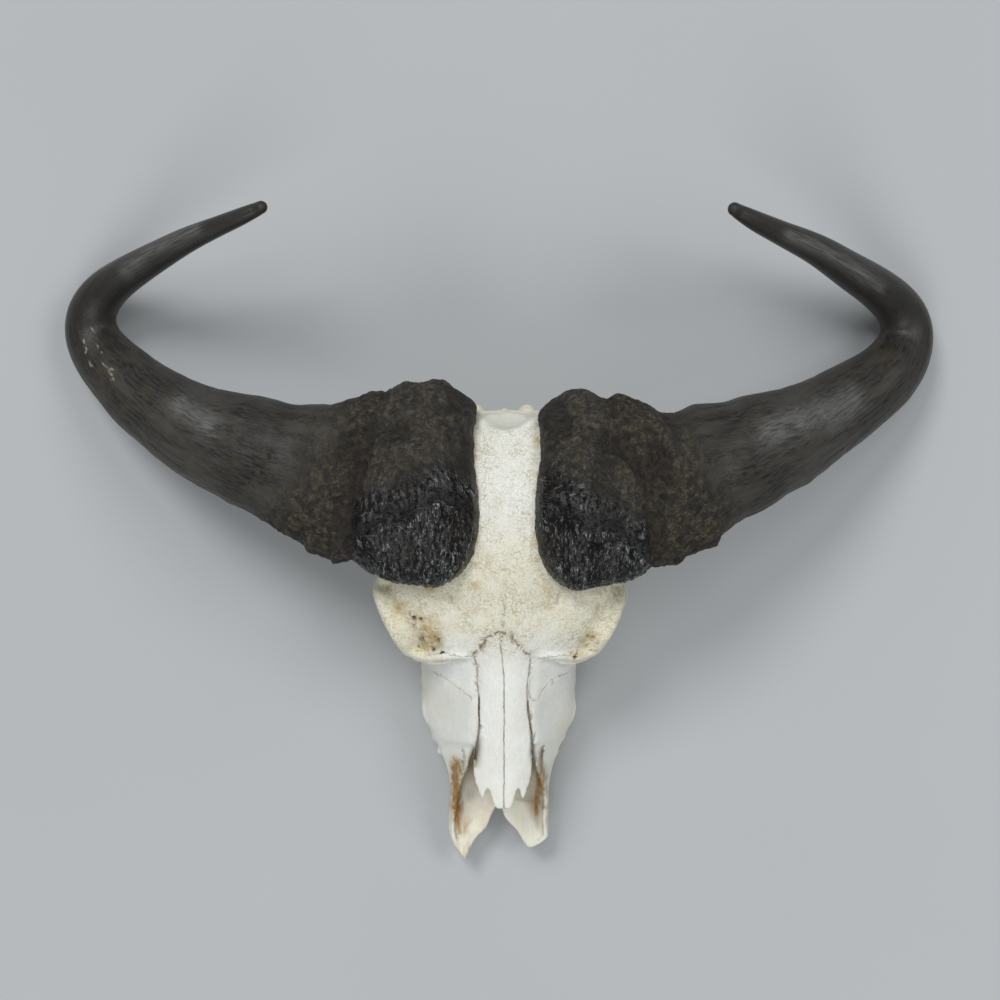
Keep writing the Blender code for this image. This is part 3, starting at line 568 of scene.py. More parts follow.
def cut(piece, cutter):
    modifier = piece.modifiers.new("cut", "BOOLEAN")
    modifier.operation = "DIFFERENCE"
    modifier.solver = "EXACT"
    modifier.object = cutter
    return evaluated_mesh(piece)


def keep_largest_body(piece):
    made = bmesh.new()
    made.from_mesh(piece.data)
    made.verts.ensure_lookup_table()
    seen = set()
    bodies = []
    for start in made.verts:
        if start in seen:
            continue
        body, edge = {start}, [start]
        while edge:
            vertex = edge.pop()
            for link in vertex.link_edges:
                other = link.other_vert(vertex)
                if other not in body:
                    body.add(other)
                    edge.append(other)
        seen |= body
        bodies.append(body)
    bodies.sort(key=len)
    for body in bodies[:-1]:
        bmesh.ops.delete(made, geom=list(body), context="VERTS")
    made.to_mesh(piece.data)
    made.free()
    return piece


def widen_sides(piece):
    """Gives the skull its own lopsided width."""
    for vertex in piece.data.vertices:
        vertex.co.x *= LEFT_WIDER if vertex.co.x < 0 else RIGHT_NARROWER


def mirrored_balls(rows, collection):
    """A ball for each row, and its mirror image where it lies off the middle."""
    return [
        ball("mass", (side * x, y, z), radii, collection)
        for x, y, z, *radii in rows for side in both_sides(x)
    ]


def skull_bone(collection):
    """All the bone as one skin, which runs on under the horns and round the roots of the teeth."""
    pieces = [body_of_skull(collection), nasal_bones(collection)]
    hollows = [tube("nasal cavity", NASAL_CAVITY, collection)]
    for side in (-1, 1):
        pieces.append(muzzle_side(side, collection))
    for side in (-1, 1):
        pieces.append(orbit_ring(side, collection))
        pieces.append(orbit_ball(side, collection, ORBIT_SHELL, ORBIT_SETBACK))
        for name, rows, count, sides in BARS:
            pieces.append(tube(name, rows, collection, count, sides, side))
        hollows.append(orbit_ball(side, collection))
    pieces += mirrored_balls(MASSES, collection)
    pieces += [ball("flake", (x, y, z), radii, collection) for x, y, z, *radii in LEFT_FLAKES]
    hollows += mirrored_balls(HOLLOWS + FORAMINA, collection)
    bone = remesh(joined("cranium", pieces, collection))
    hollow = remesh(joined("hollows", hollows, collection))
    cut(bone, hollow)
    bpy.data.objects.remove(hollow)
    remesh(bone)
    smooth(bone, SKIN_SMOOTHING)
    widen_sides(bone)
    return keep_largest_body(bone)


# Noise and distances


def lattice_value(ix, iy, iz, seed):
    """A repeatable number from -1 to 1 for each whole-numbered point."""
    n = ix * 374761393 + iy * 668265263 + iz * 1442695041 + seed * 1274126177
    n = n & 0xFFFFFFFF
    n = ((n ^ (n >> 13)) * 1274126177) & 0xFFFFFFFF
    n = n ^ (n >> 16)
    return (n & 0xFFFF) / 32767.5 - 1


def noise(points, cell, seed=0):
    """Smooth noise from -1 to 1 with bumps about cell mm apart; cell may be a triple."""
    p = np.asarray(points, float) / np.asarray(cell, float) + seed * 7.31
    low = np.floor(p)
    t = p - low
    t = t * t * (3 - 2 * t)
    low = low.astype(np.int64)
    total = np.zeros(len(p))
    for corner in product((0, 1), repeat=3):
        weight = np.prod(np.where(corner, t, 1 - t), axis=1)
        total += weight * lattice_value(*(low + corner).T, seed)
    return total


def fractal(points, cell, seed=0, octaves=3, falloff=0.5):
    total, height = 0, 1.0
    for k in range(octaves):
        total = total + height * noise(points, np.asarray(cell, float) / 2**k, seed + 31 * k)
        height *= falloff
    return total


def shifts(points, cell, seed):
    """Two noises side by side, to shift plane points with."""
    return np.column_stack([noise(points, cell, seed), noise(points, cell, seed + 1)])


def line_distance(points, line):
    """Distances of plane points from a line of straight stretches."""
    nearest = np.full(len(points), np.inf)
    for start, end in zip(np.array(line[:-1], float), np.array(line[1:], float)):
        run = end - start
        share = np.clip((points - start) @ run / (run @ run), 0, 1)
        nearest = np.minimum(nearest, np.linalg.norm(points - start - share[:, None] * run, axis=1))
    return nearest


def spots(points, centres):
    """The strongest of several soft round spots, each x, y, radius: 1 at a centre, 0 far off."""
    best = np.zeros(len(points))
    for x, y, radius in centres:
        far = np.hypot(points[:, 0] - x, points[:, 1] - y) / radius
        best = np.maximum(best, np.exp(-far * far))
    return best


def step_up(value, low, high):
    """0 up to the low value and 1 from the high one, with a smooth rise between them."""
    t = np.clip((value - low) / (high - low), 0, 1)
    return t * t * (3 - 2 * t)


def fade(distance, width):
    """1 at no distance, falling off softly over the width."""
    return np.exp(-((distance / width) ** 2))


def oval(u, v, centre, radii):
    """1 at a centre, falling off softly by its own radius in each of two directions."""
    return np.exp(-(((u - centre[0]) / radii[0]) ** 2) - ((v - centre[1]) / radii[1]) ** 2)


def strongest(*fields):
    return np.maximum.reduce(fields)


# Meshes as arrays


def table_points(piece):
    """The piece's vertices in table millimetres."""
    points = np.empty(len(piece.data.vertices) * 3)
    piece.data.vertices.foreach_get("co", points)
    return points.reshape(-1, 3) / MM - (0, ORIGIN_BACK, 0)


def vertex_normals(piece):
    normals = np.empty(len(piece.data.vertices) * 3, np.float32)
    piece.data.vertex_normals.foreach_get("vector", normals)
    return normals.reshape(-1, 3).astype(float)


def put_points(piece, points):
    """Sets the vertices from table millimetres, kept inside the solid model's box."""
    world = np.clip(to_world(points), np.array(cad_box[0]), np.array(cad_box[1]))
    piece.data.vertices.foreach_set("co", world.ravel())
    piece.data.update()


def put_values(piece, name, values):
    layer = piece.data.attributes.new(name, "FLOAT", "POINT")
    layer.data.foreach_set("value", np.asarray(values, np.float32))


def put_vectors(piece, name, values):
    layer = piece.data.attributes.new(name, "FLOAT_VECTOR", "POINT")
    layer.data.foreach_set("vector", np.asarray(values, np.float32).ravel())


def dressed(piece, node, finish):
    """Gives a finished piece its material and its place in the model."""
    piece.data.materials.append(finish)
    piece.data.shade_smooth()
    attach(piece, "root")
    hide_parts(node)
    return piece


def finer_near(piece, chosen, times):
    """Halves the edges whose ends are both chosen; chosen takes table points and normals."""
    for _ in range(times):
        points, normals = table_points(piece), vertex_normals(piece)
        wanted = chosen(points, normals)
        made = bmesh.new()
        made.from_mesh(piece.data)
        made.verts.ensure_lookup_table()
        edges = [e for e in made.edges if wanted[e.verts[0].index] and wanted[e.verts[1].index]]
        bmesh.ops.subdivide_edges(made, edges=edges, cuts=1, use_grid_fill=True)
        bmesh.ops.triangulate(made, faces=[f for f in made.faces if len(f.verts) > 4])
        made.to_mesh(piece.data)
        made.free()


# The bone

BONE_VOXEL = 1.6
SKIN_SMOOTHING = 5
JOINT_SMOOTHING = 60
BONE_TRIANGLES = 120000  # before the edges near details are halved
DETAIL_REACH = 4  # how far from a suture or slit the mesh is made finer
FACE_HEIGHT, FOREHEAD_HEIGHT = 70, 120  # above these lie the face's and the forehead's upper sides
HOLE_DEPTH, PIT_DEPTH = 1.4, 3.6
# Sutures as x, y of the finished skull, seen from above.
SUTURES = (
    (
        (-34, -161), (-27, -154), (-17, -141), (-9, -137), (-3, -139), (4, -139), (10.5, -148),
        (17, -156), (25.5, -162),
    ),
    ((-34, -161), (-29.6, -176), (-29.4, -192), (-27.1, -211), (-26.8, -241)),
    ((25.6, -162), (25.8, -173), (23.1, -196), (24.8, -226), (29.6, -249)),
    (
        (-3, -139), (-6, -150), (-3.9, -162), (-1.4, -187), (-0.8, -220), (-0.5, -254), (0.1, -287),
        (0.5, -335),
    ),
    ((-76.4, -183), (-60.6, -190), (-43.8, -203), (-33.4, -211), (-29.3, -200)),
    ((72.8, -183.5), (49.4, -190.5), (40.7, -201), (35.5, -211.5), (30, -213), (24.3, -200)),
    ((-31.9, -159), (-36, -164), (-48.5, -164), (-65, -159), (-84, -163)),
    ((25.7, -165), (38.4, -166.5), (57.4, -162.5), (78, -166)),
)
STRAIGHT_SUTURES = SUTURES[1:4]
WEAK_SUTURES = SUTURES[4:]
FAINT_SUTURES = (((-3.2, -139), (-2.3, -124), (-1.5, -103), (-0.9, -72)),)
SUTURE_DEPTH = 0.8
SUTURE_HALF_WIDTH = 0.62
ROOT_SUTURE_HALF_WIDTH = 0.95  # the suture round the root of the nasal bones is wider
# The open joint between nasal bone and maxilla, which widens into the gap in front.
SLITS = (
    ((-27.4, -208), (-26.6, -241), (-28.5, -262), (-33, -280)),
    ((24.4, -212), (29.4, -249), (31, -268), (33, -280)),
)
SLIT_DEPTH = 3.0
SLIT_WIDENING = (3.4, 1.6)  # how much wider the left and the right slit are in front
CHASM_DEPTHS = (9, 4)  # how much deeper they are there
VALLEYS = (
    ((78, -104), (56, -106), (40, -112), (27, -118)),
    ((-84, -88), (-72, -96), (-56, -106), (-36, -116)),
)
VALLEY_DEPTH = 1.9
VALLEY_DEPTH_BESIDE_NASALS = 1.8
# Soft hollows and swellings: x, y, radius across and along, height.
SOFT_FORMS = (
    (-52, -184, 14, 11, -2.6), (50, -184, 13, 11, -2.6), (-44, -222, 10, 26, -1.2),
    (44, -222, 10, 26, -1.2), (0, -116, 20, 14, 1.0), (-98, -118, 12, 16, -1.6),
    (96, -122, 12, 14, -1.2), (0, 20, 14, 60, -1.2), (-88, -150, 8, 8, -1.0),
    (-60, -172, 25, 5, -2.6), (58, -172, 24, 5, -2.6), (70, -146, 12, 8, -1.2),
)
# Smoother, whiter plates low on the forehead: x, y, radius.
SMOOTH_PLATES = (
    (-48, -146, 14), (-62, -126, 11), (38, -146, 13), (52, -132, 11), (-26, -126, 8), (22, -126, 8),
)
# Worn, porous patches on the forehead's wings: x, y, radius.
POROUS = ((-92, -124, 13), (-78, -142, 12), (-86, -156, 9), (88, -152, 12), (74, -162, 8))
PITS = (
    (-96, -124, 2.0), (-88.5, -125, 1.5), (-70.5, -143, 3.4), (-69, -148, 2.4), (-75.7, -156.3, 2.2),
    (-87, -146, 2.4), (-65.2, -159.2, 1.2), (74, -165, 1.4),
)
STAINS = (
    (-86, -128, 13), (-76, -140, 12), (-82, -152, 10), (-72, -152, 8), (-110, -113, 8), (74, -164, 7),
    (88, -148, 9), (98, -116, 6), (76, -110, 4), (-30, -60, 5), (-76, -88, 7),
)
FAINT_STAINS = (
    (-52, -92, 10), (44, -96, 9), (0, -104, 9), (-34, 70, 5), (35, 74, 5), (35, 58, 4),
    (-30, -40, 6), (30, -44, 5), (-34, -64, 7), (36, -70, 6), (0, -86, 6),
)
ORANGE = (
    (-53, -300, 5), (-54, -316, 6), (-55, -333, 6), (-50, -348, 5),
    (46, -300, 5), (46, -318, 6), (45, -334, 6), (38, -346, 5),
)
# Stains along the outer walls of the open muzzle: points, half width, strength.
WALL_STAINS = (
    (((-49.5, -284), (-50, -300), (-49.5, -325), (-48, -345), (-44, -362)), 5.0, 1.9),
    (((42, -290), (42, -305), (41, -325), (38, -342)), 5.0, 1.3),
)


def on_top(points, normals):
    return (normals[:, 2] > 0.1) & (points[:, 2] > FACE_HEIGHT)


def nearest_of(points, lines):
    """Distances of plane points from the nearest of several lines."""
    near = np.full(len(points), np.inf)
    for line in lines:
        near = np.minimum(near, line_distance(points, line))
    return near


def needs_detail(points, normals):
    porous = spots(points[:, :2], POROUS) > 0.35
    near = nearest_of(points[:, :2], SUTURES + FAINT_SUTURES + SLITS) < DETAIL_REACH
    return on_top(points, normals) & (near | porous)


def from_top(rows, y):
    """Values of a table of y and value, whose y goes down, at any y."""
    return np.interp(-y, *(np.array(rows) * (-1, 1)).T)


def soft_relief(points, top):
    """Broad forms of the face that the rails leave out."""
    x, y, _ = points.T
    height = np.zeros(len(points))
    for middle_x, middle_y, across, along, tall in SOFT_FORMS:
        height += tall * oval(x, y, (middle_x, middle_y), (across, along))
    height -= VALLEY_DEPTH * fade(nearest_of(points[:, :2], VALLEYS), 5.5)
    half = from_top(NASAL_WIDTHS, y)
    outside = np.where(x < 0, -x - LEFT_WIDER * half, x - RIGHT_NARROWER * half)
    beside_nasals = fade(outside - 1.5, 6) * step_up(outside, -0.6, 0.8) * step_up(-y, 160, 185)
    height -= VALLEY_DEPTH_BESIDE_NASALS * beside_nasals
    height -= 0.5 * fade(x, 5) * step_up(-y, 140, 160)
    return height * top


def granular(points, y):
    """How grainy the bone is: the forehead is, the face and the middle of the forehead are not."""
    middle = oval(points[:, 0], y, (0, 5), (13, 50))
    plates = 0.75 * spots(points[:, :2], SMOOTH_PLATES)
    return step_up(y, -178, -145) * (1 - 0.55 * middle) * (1 - plates) * (1 - step_up(y, 72, 84))


def occiput_relief(points, normals):
    """The crest down the middle of the back of the skull, with a rough muscle field on each side."""
    x, y, z = points.T
    crest = 2.4 * fade(x, 4.5) * step_up(z, 98, 112) * (1 - step_up(z, 186, 200))
    fields = 2.6 * oval(abs(x), z, (24, 150), (14, 18))
    fields += 2.0 * oval(abs(x), z, (40, 112), (14, 12))
    rough = 0.9 * fractal(points, (6, 9, 13), 61, 4) * step_up(z, 96, 112)
    return step_up(normals[:, 1], 0.3, 0.7) * (y > 40) * (crest - fields + rough)


def socket_depth(points):
    """0 outside the eye sockets, rising to 1 far inside."""
    right = points.copy()
    right[:, 0] = abs(points[:, 0])
    offset = right - np.array(ORBIT)
    inward = -offset @ np.array(ORBIT_FACING)
    aside = np.linalg.norm(offset + inward[:, None] * np.array(ORBIT_FACING), axis=1)
    return (aside < ORBIT_RING - 1) * step_up(inward, 2, 34)


def juga(points, normals):
    """Upright swellings of the jaw over the roots of the cheek teeth, on its outer side."""
    x, y, z = points.T
    swell = np.zeros(len(points))
    for _, middle, length, _, _, lobes in TEETH:
        for k in range(lobes):
            root = middle + (k - (lobes - 1) / 2) * length / lobes
            swell += fade(y - root, 0.3 * length / lobes)
    side_on = step_up(np.sign(x) * normals[:, 0], 0.4, 0.8)
    return 1.5 * (swell - 0.4) * side_on * step_up(z, 24, 32) * (1 - step_up(z, 48, 74)) * (abs(x) > 52)


class BoneMarks:
    """How strongly each mark of the bone shows at each point, mostly from 0 to 1."""

    def __init__(self, points, normals, top):
        self.points, self.normals, self.top = points, normals, top
        self.x, self.y, self.z = points.T
        self.flat, self.out = points[:, :2], abs(self.x)
        self.high = top * (self.z > FOREHEAD_HEIGHT)
        self.wander = shifts(points, 6, 1) + 1.5 * shifts(points, 2.4, 3)
        self.root = line_distance(self.flat + 0.7 * self.wander, SUTURES[0])
        self.suture = self.find_sutures()
        faint = nearest_of(self.flat + self.wander, FAINT_SUTURES)
        self.faint = fade(faint, 0.9) * top * self.patches(4, 9, -0.1, 0.4)
        self.slit = self.find_slits()
        self.porous = spots(self.flat, POROUS) * self.high
        self.holes = step_up(fractal(points, 3.4, 5, 2), 0.25, 0.8) * step_up(self.porous, 0.25, 0.7)
        ragged = self.flat + self.wander * 0.9 + shifts(points, 4, 6) * 1.6
        self.pits = spots(ragged, PITS) * self.high
        self.grainy = granular(points, self.y) * top
        self.behind = step_up(normals[:, 1], 0.2, 0.6) * (self.y > 40) * (self.z < 205)
        self.roof = from_top(NASAL_RIDGE, self.y)
        self.muzzle = step_up(-self.y, 268, 300)
        self.lined = self.muzzle * (self.z < self.roof - 14) * step_up(-self.out, -53.5, -49)
        below_roof = (self.out < 45) * (self.z < self.roof - 9)
        self.under_roof = below_roof * step_up(-self.y, 240, 256) * self.inward()

    def patches(self, cell, seed, low, high, octaves=1):
        """Uneven patches about cell mm across."""
        return step_up(fractal(self.points, cell, seed, octaves), low, high)

    def find_sutures(self):
        near = np.full(len(self.points), np.inf)
        for line in SUTURES:
            calm = 0.3 if line in STRAIGHT_SUTURES else 1.0
            near = np.minimum(near, line_distance(self.flat + self.wander * calm, line))
        broken = 0.7 + 0.3 * self.patches(5, 8, -0.5, 0.2)
        suture = fade(near, SUTURE_HALF_WIDTH) * self.top * broken
        weak = nearest_of(self.flat + self.wander, WEAK_SUTURES)
        suture *= 1 - (0.30 + 0.4 * self.patches(3, 66, -0.3, 0.5)) * fade(weak, 1.6)
        return np.maximum(suture, fade(self.root, ROOT_SUTURE_HALF_WIDTH) * self.top)

    def find_slits(self):
        near = nearest_of(self.flat + 0.2 * self.wander, SLITS)
        widest = np.where(self.x < 0, *SLIT_WIDENING)
        gape = 0.7 + 0.8 * step_up(-self.y, 225, 255) + widest * step_up(-self.y, 248, 280)
        return fade(near, gape) * step_up(self.normals[:, 2], 0.05, 0.35) * (self.z > 60)

    def inward(self):
        """Faces of the open muzzle that look at its middle or lie low in it."""
        towards = step_up(-np.sign(self.x) * self.normals[:, 0], -0.05, 0.25)
        low = step_up(-self.z, -72, -62) * step_up(self.normals[:, 2], 0.3, 0.6)
        return np.maximum(towards, low)

    def relief(self):
        """Heights in mm of the fine forms, but for the slits."""
        points, grainy = self.points, self.grainy
        height = fractal(points, 8, 11, 4) * (0.10 + 0.34 * grainy)
        height += 0.9 * grainy * (abs(noise(points, 5.5, 12)) - 0.3)
        height += juga(points, self.normals) + occiput_relief(points, self.normals)
        height -= SUTURE_DEPTH * self.suture + 0.35 * self.faint
        height -= HOLE_DEPTH * self.holes + PIT_DEPTH * self.pits
        return height + 0.7 * self.porous * fractal(points, 9, 21, 2)

    def slit_depth(self):
        deepest = np.where(self.x < 0, *CHASM_DEPTHS) * step_up(-self.y, 246, 272)
        return (SLIT_DEPTH + deepest) * self.slit

    def stain_and_shade(self):
        """Tan stains, most of them on the forehead's wings and along the edges of the bosses, with painted
        shade as well as a brownish tint on the wings' lower lip and in the forehead's valleys.
        """
        patch = self.patches(11, 41, -0.75, 0.7, 4)
        # The wings' lower lip: painted shade with a brownish tint.
        lip_tint_and_shade = fade(self.y + 170, 5) * step_up(self.out, 52, 66) * (1 - step_up(self.out, 88, 100))
        by_root = fade(self.root - 2.5, 3.0) * self.top * self.patches(6, 65, -0.4, 0.5)
        # The forehead's valleys: painted shade with a brownish tint.
        valley_tint_and_shade = fade(nearest_of(self.flat + 1.5 * self.wander, VALLEYS), 3.5) * self.high
        boss_rim = fade(self.out - 31.5, 2.6) * (self.y > -95) * (self.y < 85) * self.high
        crumbs = noise(self.points, 7, 48) + 0.6 * noise(self.points, 2.5, 49)
        return strongest(
            spots(self.flat, STAINS) * self.high * patch * 1.25,
            0.4 * spots(self.flat, FAINT_STAINS) * self.high * step_up(patch, 0.3, 0.8),
            0.45 * valley_tint_and_shade * self.patches(5, 50, -0.5, 0.4),
            0.35 * by_root,
            0.5 * self.behind * self.patches((14, 14, 9), 64, 0.15, 0.8, 4),
            0.42 * lip_tint_and_shade * (self.z > 100) * self.patches(8, 51, -0.8, 0.3),
            0.9 * boss_rim * step_up(crumbs, -0.1, 0.5),
        )

    def orange(self):
        """Rusty stains inside the open muzzle."""
        streaks = self.patches((4, 30, 7), 45, -0.7, 0.5, 3)
        wall = self.muzzle * step_up(-np.sign(self.x) * self.normals[:, 0], 0.1, 0.6)
        wall = wall * (self.out > 30) * (self.z < self.roof - 4) * streaks * np.where(self.x < 0, 1.0, 0.7)
        spotted = spots(self.flat + 2 * self.wander, ORANGE) * (self.z < 100) * self.muzzle
        ends = 1 - step_up(-self.y + 8 * noise(self.points, 9, 47), 290, 322)
        stains = [
            spotted * self.patches(9, 44, -0.9, 0.4, 3),
            0.8 * wall,
            0.3 * self.lined * streaks * (self.x < 0),
            0.7 * self.under_roof * ends * streaks,
        ]
        upper_side = (self.z < 112) * (self.normals[:, 2] > -0.2)
        for line, spread, strength in WALL_STAINS:
            near = fade(line_distance(self.flat + 1.5 * self.wander, line), spread)
            stains.append(strength * near * (0.55 + 0.45 * streaks) * upper_side)
        return strongest(*stains)

    def cream(self):
        """Where the bone has yellowed: wings, underside, back, flanks and the low forehead."""
        flank = step_up(np.sign(self.x) * self.normals[:, 0], 0.3, 0.8) * (1 - step_up(self.z, 60, 130))
        return strongest(
            step_up(self.out, 62, 92) * step_up(self.y, -180, -160),
            0.8 * step_up(self.y, 88, 92),
            step_up(-self.normals[:, 2], 0.0, 0.7),
            0.9 * fade(self.out - 42, 9) * (self.y > -95) * (self.y < 85) * self.high,
            0.75 * self.lined,
            self.behind * self.patches(24, 62, -0.9, 0.4, 3),
            0.7 * flank * self.patches(30, 63, -0.6, 0.5, 3),
            0.8 * step_up(self.y, -160, -125) * (1 - step_up(self.y, -70, 0)) * self.high,
        )

    def deep(self):
        """Painted brown shade in the depths of the nose cavity, the eye sockets, the foramen magnum and the
        slits.
        """
        x, y, z = self.x, self.y, self.z
        cavity = step_up(-y, 200, 240) * step_up(-z, -112, -100) * (self.out < 44)
        down = step_up(-self.normals[:, 2], 0.2, 0.6)
        magnum = np.exp(-((x / 17) ** 4) - ((z - 80) / 17) ** 4) * (y > 30) * step_up(-y, -86, -62)
        painted_depth_shade = strongest(
            cavity * (1 - step_up(-y, 268, 306)),
            0.55 * (self.out < 40) * (z < 128) * (z > 44) * down * (y < -160),
            0.95 * self.under_roof * (1 - step_up(-y + 6 * noise(self.points, 7, 46), 276, 300)),
            0.42 * socket_depth(self.points),
            0.7 * magnum,
        )
        return painted_depth_shade + 0.8 * self.slit

    # Dark sutures of the bone, with painted shade in its pits and holes.
    def sutures_and_pit_shade(self):
        return 0.95 * self.suture + 0.5 * self.faint + 0.55 * self.holes + 1.3 * self.pits

    def poll_shade(self):
        """Painted grey shade over the scoop at the rear of the poll."""
        bow = 0.016 * self.x * self.x
        hollow = step_up(self.y, 71 + bow, 75 + bow) * (self.z > 190) * (self.out < 34)
        return hollow * (1 - step_up(self.y, 89, 92))


def bone_relief(piece):
    """Gives the skull its fine forms, and the values that its finish reads."""
    points, normals = table_points(piece), vertex_normals(piece)
    top = step_up(normals[:, 2], 0.05, 0.35) * (points[:, 2] > FACE_HEIGHT)
    points = points + normals * soft_relief(points, top)[:, None]
    marks = BoneMarks(points, normals, top)
    moved = points + normals * marks.relief()[:, None]
    moved[:, 2] -= marks.slit_depth()
    put_points(piece, moved)
    fields = {
        # deep holds painted shade in the skull's depths.
        "stain_and_shade": marks.stain_and_shade(), "orange": marks.orange(), "cream": marks.cream(), "deep": marks.deep(),
        "sutures_and_pit_shade": marks.sutures_and_pit_shade(), "grainy": marks.grainy, "poll_shade": marks.poll_shade(),
    }
    for word, values in fields.items():
        put_values(piece, word, np.clip(values, 0, 1))


def uneven(points):
    """Up to 1 where the skin is evened out: cheeks, rims of the wings, back of the skull."""
    x, y, z = points.T
    cheeks = step_up(y, -284, -270) * (1 - step_up(y, -250, -236)) * step_up(abs(x), 34, 40) * (z > 30)
    rims = step_up(abs(x), 66, 80) * step_up(y, -178, -166)
    rims = rims * (1 - step_up(y, -70, -56)) * step_up(z, 118, 134)
    knob = step_up(y, 66, 76) * (1 - step_up(abs(x), 22, 34))
    knob = knob * step_up(z, 124, 136) * (1 - step_up(z, 178, 190))
    condyles = 0.5 * step_up(y, 40, 60) * (1 - step_up(z, 84, 104)) * (abs(x) < 50)
    return np.maximum(np.maximum(cheeks, 0.7 * rims), np.maximum(knob, condyles))


def even_out(piece):
    """Smooths the piece where it is uneven."""
    group = piece.vertex_groups.new(name="even")
    weights = uneven(table_points(piece))
    for index in np.flatnonzero(weights > 0.02):
        group.add([int(index)], float(weights[index]), "REPLACE")
    smooth(piece, JOINT_SMOOTHING, group.name)
    piece.vertex_groups.clear()


def thin_out(piece, count):
    piece.data.calc_loop_triangles()
    modifier = piece.modifiers.new("fewer", "DECIMATE")
    modifier.ratio = min(count / len(piece.data.loop_triangles), 1)
    modifier.use_collapse_triangulate = True
    evaluated_mesh(piece)


def make_bone(finish):
    parts = bpy.data.collections.new("bone work")
    bpy.context.scene.collection.children.link(parts)
    bone = skull_bone(parts)
    bone.name = "skull_bone"
    even_out(bone)
    thin_out(bone, BONE_TRIANGLES)
    finer_near(bone, needs_detail, 2)
    bone_relief(bone)
    return dressed(bone, "cranium", finish)


# The horns

FINE_RINGS = 450
FINE_SIDES = 208
TOP_SHARE = 0.66  # share of the points of a ring that lie on its upper side
# Rounds of smoothing of the horn's path, of its height and of the way it points.
PATH_ROUNDS, HEIGHT_ROUNDS, AIM_ROUNDS = 14, 30, 60
BEND_REACH = 80  # half the length over which the bend is smoothed
BEND_SMOOTHING = (25, 60, 320)  # rounds of smoothing along the horn in x, y and z
SHARE_SOFTNESS = 0.002  # keeps the change from boss to round horn free of a kink
PAD_LINES = {
    -1: (
        (28, 16), (33, 15.4), (54, 34.5), (69, 38.5), (77, 35.5), (100, 26.4), (125, 15.2),
        (144, 7.1), (165, -3),
    ),
    1: ((24, 37), (48, 28.5), (78, 15.2), (114, 0), (145, -19.4), (160, -27)),
}
PAD_CENTRES = {-1: (97, -20), 1: (86, -30)}
# Ridges and knobs of the rear of the boss: points, half width, height.
RIDGES = {
    -1: (
        (((69, 72), (65, 61), (68, 51), (77, 44)), 3.5, 2.2), (((112, 55), (120, 52)), 8, 3.0),
        (((58, 84), (52, 66), (50, 48)), 4, 1.6), (((96, 88), (92, 70), (97, 58)), 4, 1.8),
        (((178, -30), (176, 0), (168, 30)), 6, 2.0),
    ),
    1: (
        (((104, 108), (136, 92), (168, 66), (176, 50), (184, 22)), 6, 3.0),
        (((70, 80), (84, 66), (88, 50)), 4, 1.8), (((52, 70), (60, 52)), 4, 1.5),
        (((172, -45), (170, -15), (176, 8)), 6, 2.0),
    ),
}
# Worn, paler stretches of the upper side, partly real wear and partly a painted sheen: points, half width;
# distances from the middle.
SHEENS = {
    -1: ((((403, 245), (384, 258), (366, 268), (325, 284)), 8), (((342, 100), (325, 89), (308, 78)), 13)),
    1: (
        (((300, 278), (336, 267), (364, 254), (408, 232)), 7),
        (((276, 73), (299, 82), (345, 93), (370, 107)), 16),
    ),
}
# Pale scratches of the left bend.
SCARS = (
    ((453, 176), (451, 160)), ((440, 166), (432, 158)), ((446, 148), (438, 139)), ((432, 147), (416, 138)),
    ((425, 142), (418, 128)), ((413, 203), (410, 198)), ((446, 188), (441, 182)),
)
# How far out the crust beyond the crease reaches: y, distance from the middle.
CRUST_ENDS = {
    -1: ((-60, 300), (-35, 262), (-12, 232), (15, 205), (40, 183), (70, 168), (100, 158)),
    1: ((-60, 250), (-23, 226), (0, 214), (20, 194), (45, 183), (66, 176), (95, 150)),
}
TIP_FROM, TIP_FULL = 0.52, 0.66  # where the smooth tip starts and is full, as shares of the length
WRINKLE_HEIGHT = 1.9
GAP_DEPTH = 1.7  # of the open crack along the crease


def by_crease(table_line, y):
    """Distance from the middle of a crease at each y."""
    line = np.array(table_line, float)[:, ::-1]
    line = line[np.argsort(line[:, 0])]
    return np.interp(y, line[:, 0], line[:, 1])


def coarse_relief(side, x, y, front):
    """Height in mm that the sheath stands out, as in the solids; front is 1 at the nose-side edge."""
    crease = line_distance(np.column_stack([x, y]), CREASES[side])
    height = -0.6 * CREASE_DEPTH * fade(crease, CREASE_HALF_WIDTH)
    for ledge, step in LEDGES[side]:
        before = np.maximum(ledge - x, 0)
        height += step * np.maximum(front, 0) ** 4 * fade(before, LEDGE_RUN) * step_up(ledge - x, -1.5, 1.5)
    middle, spread, tall = REAR_LUMP
    height += tall * fade(x - middle, spread) * step_up(-front, 0.5, 0.7)
    end, run = LUMPS_REACH
    base = 1 / (1 + np.exp((x - end) / run))
    first, warp, second, slant = LUMP_WAVES
    lumps = np.sin(x / first + 0.6 * np.sin(y / warp)) + np.sin(y / second + x / slant + side)
    height += LUMP_HEIGHT * base * lumps * (1 - np.maximum(front, 0) ** 2 * 0.5)
    return height * (y < SMOOTH_BEYOND)


def softened(rows, times):
    """Rows averaged with their neighbours, again and again."""
    for _ in range(times):
        padded = np.concatenate([rows[:1], rows, rows[-1:]])
        rows = 0.25 * padded[:-2] + 0.5 * padded[1:-1] + 0.25 * padded[2:]
    return rows


def unit(rows):
    return rows / np.linalg.norm(rows, axis=1)[:, None]


